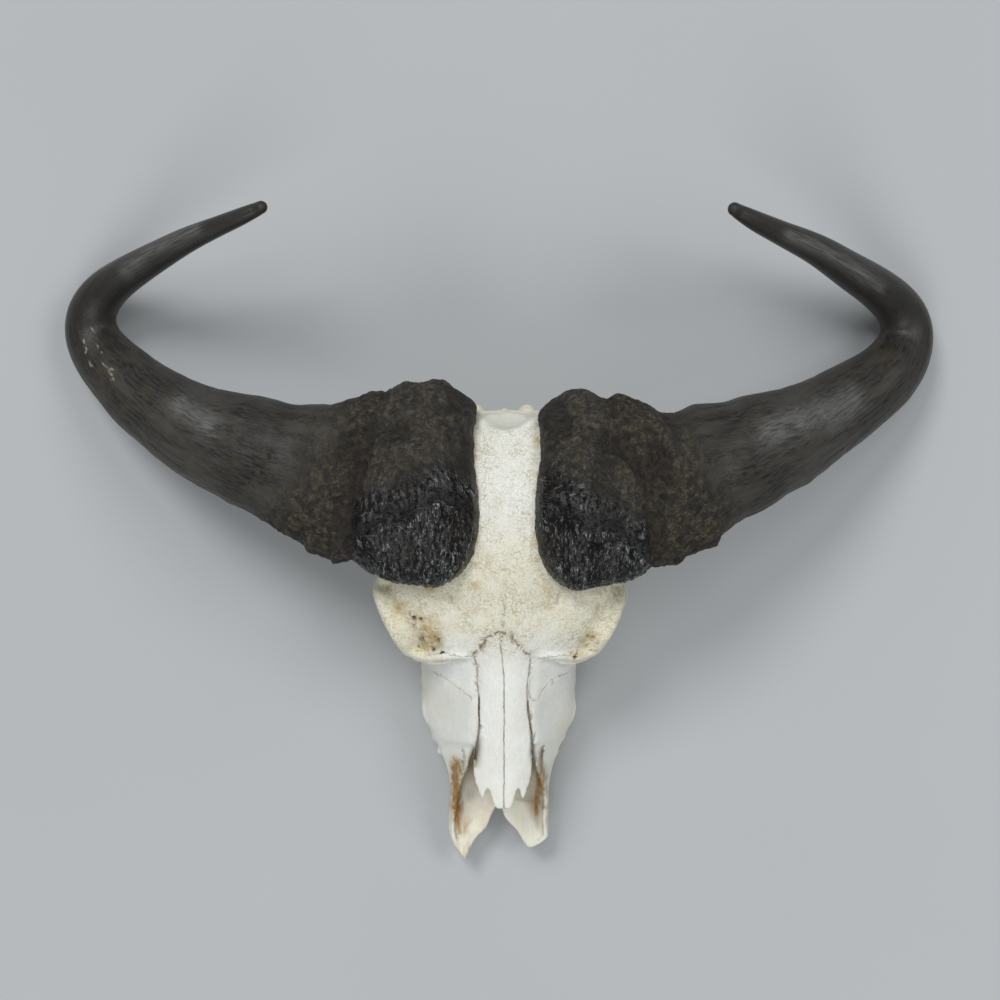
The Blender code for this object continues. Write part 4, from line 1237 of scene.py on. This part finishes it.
def horn_frames(side):
    """Rows along the horn, and the way it points, smoothed over a short stretch."""
    path = path_through(horn_rows(HORNS[side]), FINE_RINGS, HORN_CROWDING)
    path[1:-1] = softened(path, PATH_ROUNDS)[1:-1]
    path[1:-1, 2] = softened(path, HEIGHT_ROUNDS)[1:-1, 2]
    ahead = np.gradient(path[:, :3], axis=0)
    ahead[path[:, 4] < 0.999] = (side, 0, 0)
    return path, unit(softened(unit(ahead), AIM_ROUNDS))


def horn_tip(path, ahead):
    """Adds the rounded end."""
    last, onward = path[-1], ahead[-1]
    more = []
    for turn in np.sin(np.linspace(0.15, 0.97, TIP_RINGS) * math.pi / 2):
        row = last.copy()
        row[:3] += onward * TIP_RADIUS * turn
        row[3] *= math.sqrt(1 - turn * turn)
        more.append(row)
    return np.concatenate([path, more]), np.concatenate([ahead, np.repeat(onward[None], len(more), axis=0)])


def horn_angles():
    """Angles round a ring, closer together on the upper side; the seam is underneath."""
    upper = int(FINE_SIDES * TOP_SHARE)
    top = np.linspace(0, math.pi, upper, endpoint=False)
    under = np.linspace(math.pi, 2 * math.pi, FINE_SIDES - upper, endpoint=False)
    return np.concatenate([top, under])


def creased(first, second):
    """0 along the lines where either of two noises changes its sign, which draws furrows."""
    return np.minimum(abs(first), 1.3 * abs(second))


def signed_power(values, power):
    return np.sign(values) * abs(values) ** power


class Sheath:
    """One horn sheath as rings of points, with how strongly each kind of horn shows at each point."""

    def __init__(self, side):
        self.side = side
        path, ahead = horn_tip(*horn_frames(side))
        self.path, self.length = path, travelled(path)
        angles = horn_angles()
        offset = self.sections(ahead, angles)
        self.place = (path[:, None, :3] + offset).reshape(-1, 3)
        self.outward = unit(offset.reshape(-1, 3))
        self.domes = np.repeat(path[:, 4], FINE_SIDES)
        self.x, self.y = abs(self.place[:, 0]), self.place[:, 1]
        self.spot = np.column_stack([self.x, self.y])
        self.along = np.repeat(self.length, FINE_SIDES)
        reach = np.repeat(np.maximum(path[:, 3], 8), FINE_SIDES)
        turned = np.tile(angles, len(path))
        self.grain = np.column_stack([self.along, reach * np.cos(turned), reach * np.sin(turned)])
        self.find_zones()
        self.find_swirl()

    def sections(self, ahead, angles):
        """Each ring's points from its middle: a flat, squarish boss that turns into a round horn."""
        across = unit(np.cross(ahead, (0, 0, 1)) * self.side)
        upward = np.cross(across, ahead) * self.side
        half, dome = self.path[:, 3], self.path[:, 4]
        share = (half - ROUND_BELOW) / (FULL_BOSS - ROUND_BELOW)
        share = np.clip(0.5 * (share + np.sqrt(share * share + SHARE_SOFTNESS)), 0, 1)
        power = (2 / (2 + BOSS_SQUARENESS * share))[:, None]
        bottom = half * (1 + (BOSS_FLATNESS - 1) * share) * dome
        top = bottom * (1 + (BOSS_TOP - 1) * share)
        c = signed_power(np.cos(angles)[None], power)
        s = signed_power(np.sin(angles)[None], power)
        self.front, self.upness = c.ravel(), s.ravel()
        tall = np.where(s > 0, top[:, None], bottom[:, None])
        return across[:, None] * (half[:, None] * c)[..., None] + upward[:, None] * (tall * s)[..., None]

    def find_zones(self):
        """The pad and the rear of the boss, the crust outside it, the shaft and the tip."""
        place, x, y = self.place, self.x, self.y
        self.above = step_up(self.upness, -0.45, 0.1)
        self.wave = 3.0 * noise(place, 16, 3) + 1.5 * noise(place, 6, 4)
        self.crease = by_crease(CREASES[self.side], y)
        self.to_line = np.interp(x, *np.array(PAD_LINES[self.side], float).T) - y + 1.5 * self.wave
        self.boss = step_up(self.crease - x + self.wave, -3, 4) * (y < SMOOTH_BEYOND)
        self.pad = self.boss * step_up(self.to_line + 5 * noise(place, 8, 40), -9, 9) * self.above
        self.rear = self.boss * (1 - self.pad)
        outer = np.interp(y, *np.array(CRUST_ENDS[self.side], float).T)
        fading = 1 - step_up(x + 3 * self.wave, outer - 25, outer + 50)
        self.crust = (1 - self.boss) * (y < SMOOTH_BEYOND) * fading
        self.tip = step_up(self.along, TIP_FROM * self.length[-1], TIP_FULL * self.length[-1])
        self.shaft = np.clip(1 - self.boss - self.crust, 0, 1)
        narrow = (self.crease - x + 1.6 * self.wave) / 3.0
        broken = 0.55 + 0.45 * step_up(noise(place, 14, 34), -0.4, 0.3)
        self.gap = np.exp(-narrow * narrow) * self.above * (y < 118) * broken

    def find_swirl(self):
        """The wrinkles of the pad: arches round its middle, and upright strokes lower down."""
        place = self.place
        flat = np.column_stack([self.x - PAD_CENTRES[self.side][0], self.y - PAD_CENTRES[self.side][1]])
        radius = np.hypot(flat[:, 0] * 1.15, flat[:, 1] * 0.85)
        radius = radius + 5 * noise(place, 24, 7) + 1.5 * noise(place, 9, 8)
        bearing = np.arctan2(flat[:, 1], flat[:, 0])
        self.swirl = np.column_stack([radius, 60 * np.cos(bearing), 60 * np.sin(bearing)])
        self.upright = step_up(self.to_line, 22, 44)
        arched = creased(noise(self.swirl, (3.9, 12, 12), 12), noise(self.swirl, (6, 9, 9), 13))
        strokes = creased(noise(place, (4.2, 12, 9), 32), noise(place, (5, 6, 9), 33))
        self.fold = step_up(arched * (1 - self.upright) + strokes * self.upright, 0.0, 0.42)

    def pad_relief(self):
        return WRINKLE_HEIGHT * self.fold + 0.9 * noise(self.place, 20, 14) - 1.3

    def rear_relief(self):
        arcs = 1 - 2 * abs(noise(self.swirl, (7, 40, 40), 15))
        return 1.1 * arcs + 1.9 * fractal(self.place, 13, 16, 5, 0.62) - 0.9 - 0.8 * (1 - self.fold)

    def crust_relief(self):
        flakes = 1 - 2 * abs(noise(self.grain, (16, 7, 7), 22))
        holes = step_up(noise(self.place, 4.2, 18), 0.2, 0.7)
        return 1.7 * fractal(self.place, 10, 17, 5, 0.6) + 0.9 * flakes - 1.1 * holes - 0.4

    def shaft_relief(self):
        fibres = noise(self.grain, (70, 2.4, 2.4), 19) + 0.6 * noise(self.grain, (120, 5.5, 5.5), 20)
        ropy = 0.22 + 0.4 * step_up(self.front, 0.1, 0.8)
        waves = 0.5 * noise(self.grain, (11, 300, 300), 21) * (1 - self.tip)
        height = (ropy * fibres + waves) * (1 - 0.8 * self.tip) - 0.2
        lumpy = 1 - step_up(self.along, 0.35 * self.length[-1], 0.5 * self.length[-1])
        return height + 0.5 * fractal(self.place, 16, 25, 3) * lumpy

    def relief(self):
        """Height in mm that each point stands out of the plain sections."""
        height = coarse_relief(self.side, self.x, self.y, self.front)
        height += self.pad * self.pad_relief() + self.rear * self.rear_relief()
        height += self.crust * self.crust_relief() + self.shaft * self.shaft_relief()
        height -= 0.9 * fade(self.to_line - 1, 5) * self.boss * self.above + GAP_DEPTH * self.gap
        bent = np.column_stack([self.x + 0.6 * self.wave, self.y])
        for line, spread, tall in RIDGES[self.side]:
            height += tall * fade(line_distance(bent, line), spread) * self.above
        return height

    def shaped(self, height):
        """The points with their relief, the ragged inner edge of the boss and an even bend."""
        place = self.place + self.outward * (height * self.domes)[:, None]
        middle, wave = BULGE_WAVE
        ragged = 2.2 * noise(place, (50, 8, 8), 35) + 1.2 * noise(place, (50, 3.2, 3.2), 36)
        inner = INNER_BULGE * np.cos((place[:, 1] - middle) / wave) + ragged
        place[:, 0] -= self.side * (1 - self.domes) * inner
        grid = place.reshape(len(self.path), FINE_SIDES, 3)
        turn = self.length[np.argmax(abs(self.path[:, 0]))]
        share = fade(self.length - turn, BEND_REACH)[:, None]
        for axis, times in enumerate(BEND_SMOOTHING):
            grid[..., axis] += share * (softened(grid[..., axis], times) - grid[..., axis])
        return grid.reshape(-1, 3)

    def wear_and_sheen(self):
        """The worn, lighter streaks of the shaft: partly real wear, partly a painted sheen on the upper
        side.
        """
        streaks = [fade(line_distance(self.spot, line), spread) for line, spread in SHEENS[self.side]]
        return strongest(*streaks) * self.above

    def scar(self, place):
        """The pale scratches, which only the left horn has."""
        if self.side > 0:
            return np.zeros(len(place))
        near = nearest_of(self.spot + shifts(place, 5, 37) * 2.5, SCARS)
        return fade(near, 1.0) * self.above * step_up(noise(place, 4, 39), -0.3, 0.3)

    def faces(self):
        """A quad between each pair of neighbouring points, and a face over each end."""
        index = np.arange(len(self.place)).reshape(-1, FINE_SIDES)
        quads = ring_quads(index)
        if self.side > 0:
            quads = quads[:, ::-1]
        return quads.tolist() + [index[0].tolist(), index[-1].tolist()]


def make_horn(name, side, node, finish):
    sheath = Sheath(side)
    height = sheath.relief()
    place = sheath.shaped(height)
    piece = mesh_piece(name, place, sheath.faces())
    outward_faces(piece)
    put_points(piece, place)
    fields = {
        "pad": sheath.pad, "rear": sheath.rear, "tip": sheath.tip, "fold": sheath.fold,
        # low is painted shade: darker where the relief sinks lowest.
        "wear_and_sheen": sheath.wear_and_sheen(), "scar": sheath.scar(place), "low": np.clip(-height / 3, 0, 1),
        "ochre": np.clip(sheath.crust + 0.5 * sheath.rear + 0.8 * sheath.gap, 0, 1),
    }
    for word, values in fields.items():
        put_values(piece, word, values)
    put_vectors(piece, "grain", sheath.grain)
    upright = sheath.upright[:, None]
    put_vectors(piece, "swirl", sheath.swirl * (1 - upright) + place * upright)
    return dressed(piece, node, finish)


# The teeth

TOOTH_POINTS = 40  # points along each side of a tooth
TOOTH_LEVELS = (0.0, 0.6, 1.6, 4, 7, 10, 13, 16, 19, 22, 25, 29, 33)
CHEWING_RINGS = 9
PIT_OF_CROWN = 0.22  # where the pits of the chewing face lie, as shares of the width and of a lobe


def tooth_outline(length, width, lobes):
    """Across and along the tooth row: a rounded block, drawn in between its lobes."""
    s = np.cos(math.pi * np.arange(TOOTH_POINTS + 1) / TOOTH_POINTS)
    swell = 0.8 + 0.2 * abs(np.sin(0.5 * math.pi * lobes * (s + 1)))
    half = 0.5 * width * swell * (0.55 + 0.45 * (1 - s**4) ** 0.5)
    cheek = np.column_stack([half, 0.5 * length * s])
    tongue = np.column_stack([-half, 0.5 * length * s])[::-1]
    return np.concatenate([cheek, tongue])


def chewing_ring(outline, share, length, width, lobes):
    """A ring of the chewing face, with a crescent pit on each side of each lobe."""
    flat = outline * share
    across, along = flat.T
    lobe = length / lobes
    crescent = abs(along) % lobe if lobes > 1 else abs(along)
    pit = fade(abs(across) - PIT_OF_CROWN * width, 1.4) * fade(crescent - PIT_OF_CROWN * lobe, 3.2)
    depth = 1.5 * (1 - share**6)
    return np.column_stack([flat, depth + 1.6 * pit + 0.25 * np.sin(along * 1.7)])


def tooth_rings(length, width, lobes):
    """The tooth round its own middle, from the chewing face up to the hidden root end."""
    outline = tooth_outline(length, width, lobes)
    rib = 0.35 * np.cos(outline[:, 1] / length * lobes * 4 * math.pi)
    shares = np.linspace(0.1, 0.96, CHEWING_RINGS)
    rings = [chewing_ring(outline, share, length, width, lobes) for share in shares]
    for z in TOOTH_LEVELS:
        flat = outline * (1 + 0.012 * math.sin(z / 3.1)) * (1 if z > 0.5 else 0.985)
        flat = flat + np.sign(outline) * np.array([1, 0]) * (rib[:, None] * min(z / 4, 1))
        rings.append(np.column_stack([flat, np.full(len(outline), z)]))
    return rings


def make_tooth(name, side, row, node, finish):
    _, y, length, width, x, lobes = row
    rings = tooth_rings(length, width, lobes)
    points = np.concatenate(rings) * (side, 1, 1) + (side * x * WIDENING[side], y, 0)
    index = np.arange(len(points)).reshape(len(rings), -1)
    faces = ring_quads(index).tolist() + [index[0].tolist(), index[-1].tolist()]
    piece = mesh_piece(name, points, faces)
    outward_faces(piece)
    put_points(piece, table_points(piece))
    put_values(piece, "chewing", 1 - step_up(table_points(piece)[:, 2], 0.3, 2.5))
    return dressed(piece, node, finish)


# Finishes


class Finish:
    """A material that is put together from shader nodes."""

    def __init__(self, name, **constants):
        self.material = bpy.data.materials.new(name)
        self.material.use_nodes = True
        self.tree = self.material.node_tree
        self.shader = self.tree.nodes["Principled BSDF"]
        self.tone = None
        for socket, value in constants.items():
            self.shader.inputs[socket.replace("_", " ")].default_value = value

    def node(self, kind, inputs=None, **settings):
        made = self.tree.nodes.new("ShaderNode" + kind)
        for key, value in settings.items():
            setattr(made, key, value)
        for key, value in (inputs or {}).items():
            self.give(made.inputs[key], value)
        return made

    def give(self, socket, value):
        if isinstance(value, bpy.types.NodeSocket):
            self.tree.links.new(value, socket)
        else:
            socket.default_value = value

    def place(self):
        return self.node("TexCoord").outputs["Object"]

    def attribute(self, name, vector=False):
        return self.node("Attribute", attribute_name=name).outputs["Vector" if vector else "Fac"]

    def scaled(self, vector, factors):
        return self.node("VectorMath", {0: vector, 1: factors}, operation="MULTIPLY").outputs[0]

    def noise(self, cell, detail=3.0, roughness=0.5, where=None, distortion=0.0):
        """Noise from 0 to 1 with bumps about cell mm apart."""
        inputs = {"Vector": where or self.place(), "Scale": 1 / (cell * MM), "Detail": detail}
        inputs.update({"Roughness": roughness, "Distortion": distortion})
        return self.node("TexNoise", inputs).outputs["Fac"]

    def stretched(self, cells, detail=3.0, roughness=0.5, along="grain"):
        """Noise along the horn's own grain or the boss's swirl, with bumps of the given sizes in mm."""
        where = self.scaled(self.attribute(along, True), [1 / c for c in cells])
        inputs = {"Vector": where, "Scale": 1.0, "Detail": detail, "Roughness": roughness}
        return self.node("TexNoise", inputs).outputs["Fac"]

    def math(self, operation, a, b=0.0):
        return self.node("Math", {0: a, 1: b}, operation=operation).outputs[0]

    def times(self, a, b):
        return self.math("MULTIPLY", a, b)

    def from_middle(self, value):
        """How far noise is from its middle value, which draws a net of lines."""
        return self.math("ABSOLUTE", self.math("SUBTRACT", value, 0.5))

    def between(self, value, low, high, start=0.0, end=1.0):
        inputs = {"Value": value, "From Min": low, "From Max": high, "To Min": start, "To Max": end}
        return self.node("MapRange", inputs).outputs["Result"]

    def mix(self, factor, a, b):
        made = self.node("Mix", data_type="RGBA")
        self.give(made.inputs["Factor"], factor)
        for socket, value in zip([s for s in made.inputs if s.type == "RGBA"], (a, b)):
            self.give(socket, value if isinstance(value, bpy.types.NodeSocket) else (*value, 1))
        return [s for s in made.outputs if s.type == "RGBA"][0]

    def paint(self, factor, colour):
        """Lays a colour over what the surface has so far."""
        self.tone = self.mix(factor, self.tone, colour)

    def blend(self, factor, a, b):
        """A number between a and b."""
        made = self.node("Mix", data_type="FLOAT")
        self.give(made.inputs["Factor"], factor)
        self.give(made.inputs["A"], a)
        self.give(made.inputs["B"], b)
        return made.outputs["Result"]

    def bump(self, height, distance, strength=1.0, under=None):
        inputs = {"Height": height, "Distance": distance * MM, "Strength": strength}
        if under is not None:
            inputs["Normal"] = under
        return self.node("Bump", inputs).outputs["Normal"]

    def finished(self, roughness=None, normal=None):
        """The material, with its tone and whatever else is given on the shader's sockets."""
        for socket, value in (("Base Color", self.tone), ("Roughness", roughness), ("Normal", normal)):
            if value is not None:
                self.give(self.shader.inputs[socket], value)
        return self.material


WHITE_BONE, AGED_BONE, DULL_BONE = (0.80, 0.82, 0.79), (0.74, 0.74, 0.68), (0.66, 0.66, 0.58)
CREAM, SAND, VEIN, STREAK = (0.75, 0.72, 0.56), (0.40, 0.35, 0.22), (0.36, 0.30, 0.17), (0.62, 0.60, 0.46)
SPECK, POLL_SHADE_GREY, TAN_STAIN_AND_SHADE = (0.22, 0.15, 0.08), (0.50, 0.50, 0.43), (0.43, 0.30, 0.10)
RUSTY_STAIN, SHADOWED_BROWN, SUTURE_AND_PIT_SHADE_BROWN = (0.29, 0.135, 0.010), (0.10, 0.062, 0.016), (0.13, 0.075, 0.028)


def bone_finish():
    """White bone, grainy and veined on the forehead, with its stains and dark sutures, and painted shade in
    its depths, pits, valleys, wing lips and poll scoop.
    """
    made = Finish("bone", Specular_IOR_Level=0.35)
    broad = made.noise(38, 4, 0.55)
    fine = made.noise(4, 5, 0.62)
    grit = made.noise(1.5, 4, 0.6, distortion=0.6)
    grainy = made.attribute("grainy")
    made.tone = made.mix(made.between(broad, 0.35, 0.7), WHITE_BONE, AGED_BONE)
    made.paint(made.between(fine, 0.45, 0.75, 0, 0.35), DULL_BONE)
    yellowed = made.between(made.noise(14, 4, 0.6), 0.3, 0.6, 0.4, 1.0)
    made.paint(made.times(made.attribute("cream"), yellowed), CREAM)
    made.paint(made.times(made.between(grit, 0.47, 0.68), made.times(grainy, 0.62)), SAND)
    net = made.between(made.from_middle(made.noise(5.5, 3, 0.6, distortion=0.6)), 0.0, 0.05, 0.95, 0.0)
    veined = made.between(made.noise(16, 3, 0.6), 0.38, 0.62, 0.15, 1.0)
    made.paint(made.times(made.times(net, grainy), veined), VEIN)
    lengthwise = made.scaled(made.place(), (1, 0.08, 0.6))
    made.paint(made.between(made.noise(2.4, 5, 0.65, lengthwise), 0.48, 0.72, 0.0, 0.4), STREAK)
    speck = made.times(made.between(made.noise(2.2, 2, 0.5), 0.69, 0.74), grainy)
    made.paint(made.times(speck, 0.7), SPECK)
    # Painted shade over the scoop at the rear of the poll.
    made.paint(made.times(made.attribute("poll_shade"), 0.7), POLL_SHADE_GREY)
    # Tan stains, and painted shade on the wings' lower lip and in the forehead's valleys.
    patchy = made.between(made.noise(7, 5, 0.7), 0.32, 0.62, 0.3, 1.0)
    made.paint(made.times(made.attribute("stain_and_shade"), patchy), TAN_STAIN_AND_SHADE)
    rusty = made.between(made.noise(5, 5, 0.7), 0.3, 0.6, 0.75, 1.0)
    made.paint(made.times(made.attribute("orange"), rusty), RUSTY_STAIN)
    # Painted shade in the depths of the nose, the eye sockets, the foramen magnum and the slits.
    made.paint(made.attribute("deep"), SHADOWED_BROWN)
    # Dark sutures, and painted shade in the pits and holes.
    made.paint(made.attribute("sutures_and_pit_shade"), SUTURE_AND_PIT_SHADE_BROWN)
    pores = made.bump(grit, 0.8, made.between(grainy, 0, 1, 0.25, 0.9))
    return made.finished(made.between(fine, 0.3, 0.7, 0.46, 0.66), made.bump(fine, 0.9, 0.5, pores))


BLACK_HORN, GREY_FIBRE, GREY_BAND = (0.009, 0.008, 0.007), (0.042, 0.040, 0.036), (0.055, 0.053, 0.046)
BROWN_BLOTCH, TIP_BLACK, SHEEN_GREY = (0.044, 0.034, 0.021), (0.017, 0.016, 0.015), (0.15, 0.15, 0.145)
REAR_DARK, REAR_PATCH = (0.017, 0.0155, 0.013), (0.086, 0.074, 0.052)
CRUST_DARK, RUST_DARK, RUST_LIGHT = (0.013, 0.011, 0.009), (0.034, 0.025, 0.015), (0.135, 0.113, 0.074)
FURROW_SHADE, FOLD_BLACK, CREST_GLINT = (0.0012, 0.0012, 0.0012), (0.022, 0.022, 0.0215), (0.42, 0.43, 0.44)
HOLLOW_SHADE, DUST, SCRATCH = (0.010, 0.007, 0.005), (0.10, 0.09, 0.075), (0.34, 0.31, 0.25)


def paint_horn(made, fibre, painted_glints, wrinkled, fine):
    """The shaft's tones first, then those of the boss, the crust and the pad over them."""
    pad, ochre, rear = made.attribute("pad"), made.attribute("ochre"), made.attribute("rear")
    made.tone = made.mix(made.between(fibre, 0.40, 0.63), BLACK_HORN, GREY_FIBRE)
    made.paint(made.between(made.stretched((90, 14, 14), 3, 0.5), 0.45, 0.66, 0, 0.8), GREY_BAND)
    made.paint(made.between(made.noise(13, 5, 0.65), 0.48, 0.66, 0, 0.7), BROWN_BLOTCH)
    made.paint(made.times(made.attribute("tip"), 0.6), TIP_BLACK)
    # Paler streaks on the upper side: partly real wear, partly a painted sheen.
    worn_and_sheen = made.times(made.attribute("wear_and_sheen"), made.between(fibre, 0.36, 0.62, 0.25, 1.0))
    made.paint(made.times(worn_and_sheen, 0.75), SHEEN_GREY)
    made.paint(made.times(rear, 0.5), REAR_DARK)
    made.paint(made.times(ochre, 0.75), CRUST_DARK)
    made.paint(made.times(rear, made.between(made.noise(6, 5, 0.72), 0.50, 0.62, 0, 0.8)), REAR_PATCH)
    rust = made.mix(made.between(fine, 0.40, 0.62), RUST_DARK, RUST_LIGHT)
    flake = made.noise(8, 6, 0.72, distortion=0.4)
    made.paint(made.times(ochre, made.between(flake, 0.44, 0.64)), rust)
    # The pad's own near-black, with painted shade making its furrows darker still.
    made.paint(pad, made.mix(made.between(made.attribute("fold"), 0.25, 0.9), FURROW_SHADE, FOLD_BLACK))
    # Painted glints on the crests of the pad's wrinkles, fainter on the rear of the boss.
    made.paint(made.times(painted_glints, made.times(wrinkled, 0.85)), CREST_GLINT)
    # Painted shade, darker where the relief sinks lowest.
    made.paint(made.times(made.attribute("low"), 0.6), HOLLOW_SHADE)
    made.paint(made.times(made.between(fine, 0.66, 0.74), 0.5), DUST)
    made.paint(made.times(made.attribute("scar"), 0.85), SCRATCH)


def horn_finish():
    """Black horn: fibrous shaft, smooth tip, ochre crust, pitted rear boss and glossy wrinkled pad, with
    painted glints on the pad's crests, painted shade in its furrows and hollows, and a painted sheen on the
    upper side.
    """
    made = Finish("horn", Specular_IOR_Level=0.30)
    pad, ochre, rear = made.attribute("pad"), made.attribute("ochre"), made.attribute("rear")
    fibre = made.stretched((60, 1.6, 1.6), 4, 0.6)
    fine = made.noise(2.2, 5, 0.7)
    net = made.from_middle(made.stretched((2.8, 9, 9), 2, 0.5, "swirl"))
    ridge = made.between(net, 0.0, 0.05, 1.0, 0.0)
    # Painted glints along the crests of the pad's wrinkles.
    painted_glints = made.times(ridge, made.between(made.stretched((4, 11, 11), 2, 0.6, "swirl"), 0.46, 0.60))
    wrinkled = made.math("MAXIMUM", pad, made.times(rear, 0.15))
    paint_horn(made, fibre, painted_glints, wrinkled, fine)
    rough = made.blend(made.attribute("tip"), made.between(fibre, 0.3, 0.7, 0.34, 0.50), 0.30)
    for where, least, most in ((rear, 0.34, 0.60), (ochre, 0.50, 0.80), (pad, 0.15, 0.32)):
        rough = made.blend(where, rough, made.between(fine, 0.35, 0.7, least, most))
    pitted = made.math("MAXIMUM", rear, ochre)
    lines = made.bump(fibre, 0.7, made.math("SUBTRACT", 0.6, made.times(pad, 0.6)))
    ripples = made.bump(ridge, 0.9, wrinkled, lines)
    coarse = made.bump(made.noise(7, 5, 0.7, distortion=0.6), 4.0, pitted, ripples)
    return made.finished(rough, made.bump(fine, 1.2, made.between(pitted, 0, 1, 0.35, 0.95), coarse))


ENAMEL, OLD_ENAMEL = (0.62, 0.53, 0.36), (0.30, 0.19, 0.085)
TARTAR, WORN_CROWN = (0.16, 0.095, 0.045), (0.66, 0.60, 0.46)


def tooth_finish():
    made = Finish("tooth", Specular_IOR_Level=0.5)
    streak = made.noise(3, 5, 0.6)
    made.tone = made.mix(made.between(made.noise(7, 4, 0.6), 0.35, 0.65), ENAMEL, OLD_ENAMEL)
    made.paint(made.between(streak, 0.5, 0.75, 0, 0.7), TARTAR)
    made.paint(made.times(made.attribute("chewing"), 0.5), WORN_CROWN)
    return made.finished(made.between(streak, 0.3, 0.7, 0.28, 0.5), made.bump(streak, 0.4, 0.5))


FLOOR_TONES = (0.404, 0.421, 0.434), (0.416, 0.433, 0.446)


def floor_finish():
    made = Finish("floor", Roughness=0.9)
    made.tone = made.mix(made.between(made.noise(400, 2, 0.5), 0.3, 0.7), *FLOOR_TONES)
    return made.finished()


# Floor, light and camera

FLOOR_REACH = 15.0
CAMERA_PLACE = (-0.0943, 0.0417, 3.0)
CAMERA_LEAN = 0.0314  # sine of the camera's small lean to the side
CAMERA_LENS, CAMERA_SENSOR = 97.16, 36
# Far, wide, soft lights: name, direction they come from, spread in degrees, power.
LIGHTS = (
    ("key", (-0.5, 0.75, 1.3), 20, 1.35), ("second", (0.75, 0.3, 1.2), 24, 0.70),
    ("fill", (-0.25, -0.95, 1.2), 30, 0.85), ("top", (-0.05, 0.25, 1.0), 14, 0.28),
)
ROOM_COLOUR, ROOM_STRENGTH = (0.95, 0.98, 1.0, 1), 0.30


def make_floor():
    mesh = bpy.data.meshes.new("floor")
    corners = [(x * FLOOR_REACH, y * FLOOR_REACH, 0) for x, y in ((-1, -1), (1, -1), (1, 1), (-1, 1))]
    mesh.from_pydata(corners, [], [(0, 1, 2, 3)])
    floor = linked("floor", mesh)
    mesh.materials.append(floor_finish())


def make_light(name, toward, spread, power):
    data = bpy.data.lights.new(name, "SUN")
    data.angle = math.radians(spread)
    data.energy = power
    light = linked(name, data)
    light.rotation_euler = (-Vector(toward)).to_track_quat("-Z", "Y").to_euler()


def make_camera():
    data = bpy.data.cameras.new("camera")
    data.sensor_width = CAMERA_SENSOR
    data.lens = CAMERA_LENS
    camera = linked("camera", data)
    camera.location = CAMERA_PLACE
    camera.rotation_euler = (0, -math.asin(CAMERA_LEAN), 0)
    bpy.context.scene.camera = camera


def make_world():
    world = bpy.data.worlds.new("soft room")
    world.use_nodes = True
    background = world.node_tree.nodes["Background"]
    background.inputs["Color"].default_value = ROOM_COLOUR
    background.inputs["Strength"].default_value = ROOM_STRENGTH
    bpy.context.scene.world = world
    bpy.context.scene.view_settings.view_transform = "Standard"


make_bone(bone_finish())
keratin = horn_finish()
make_horn("left_horn", -1, "horn_sheath_left", keratin)
make_horn("right_horn", 1, "horn_sheath_right", keratin)
enamel = tooth_finish()
for tooth_side, tooth_word in ((-1, "left"), (1, "right")):
    for tooth_row in TEETH:
        label = f"{tooth_word}_{tooth_row[0]}"
        make_tooth("cheek_tooth_" + label, tooth_side, tooth_row, "tooth_" + label, enamel)
make_floor()
for light_row in LIGHTS:
    make_light(*light_row)
make_world()
make_camera()
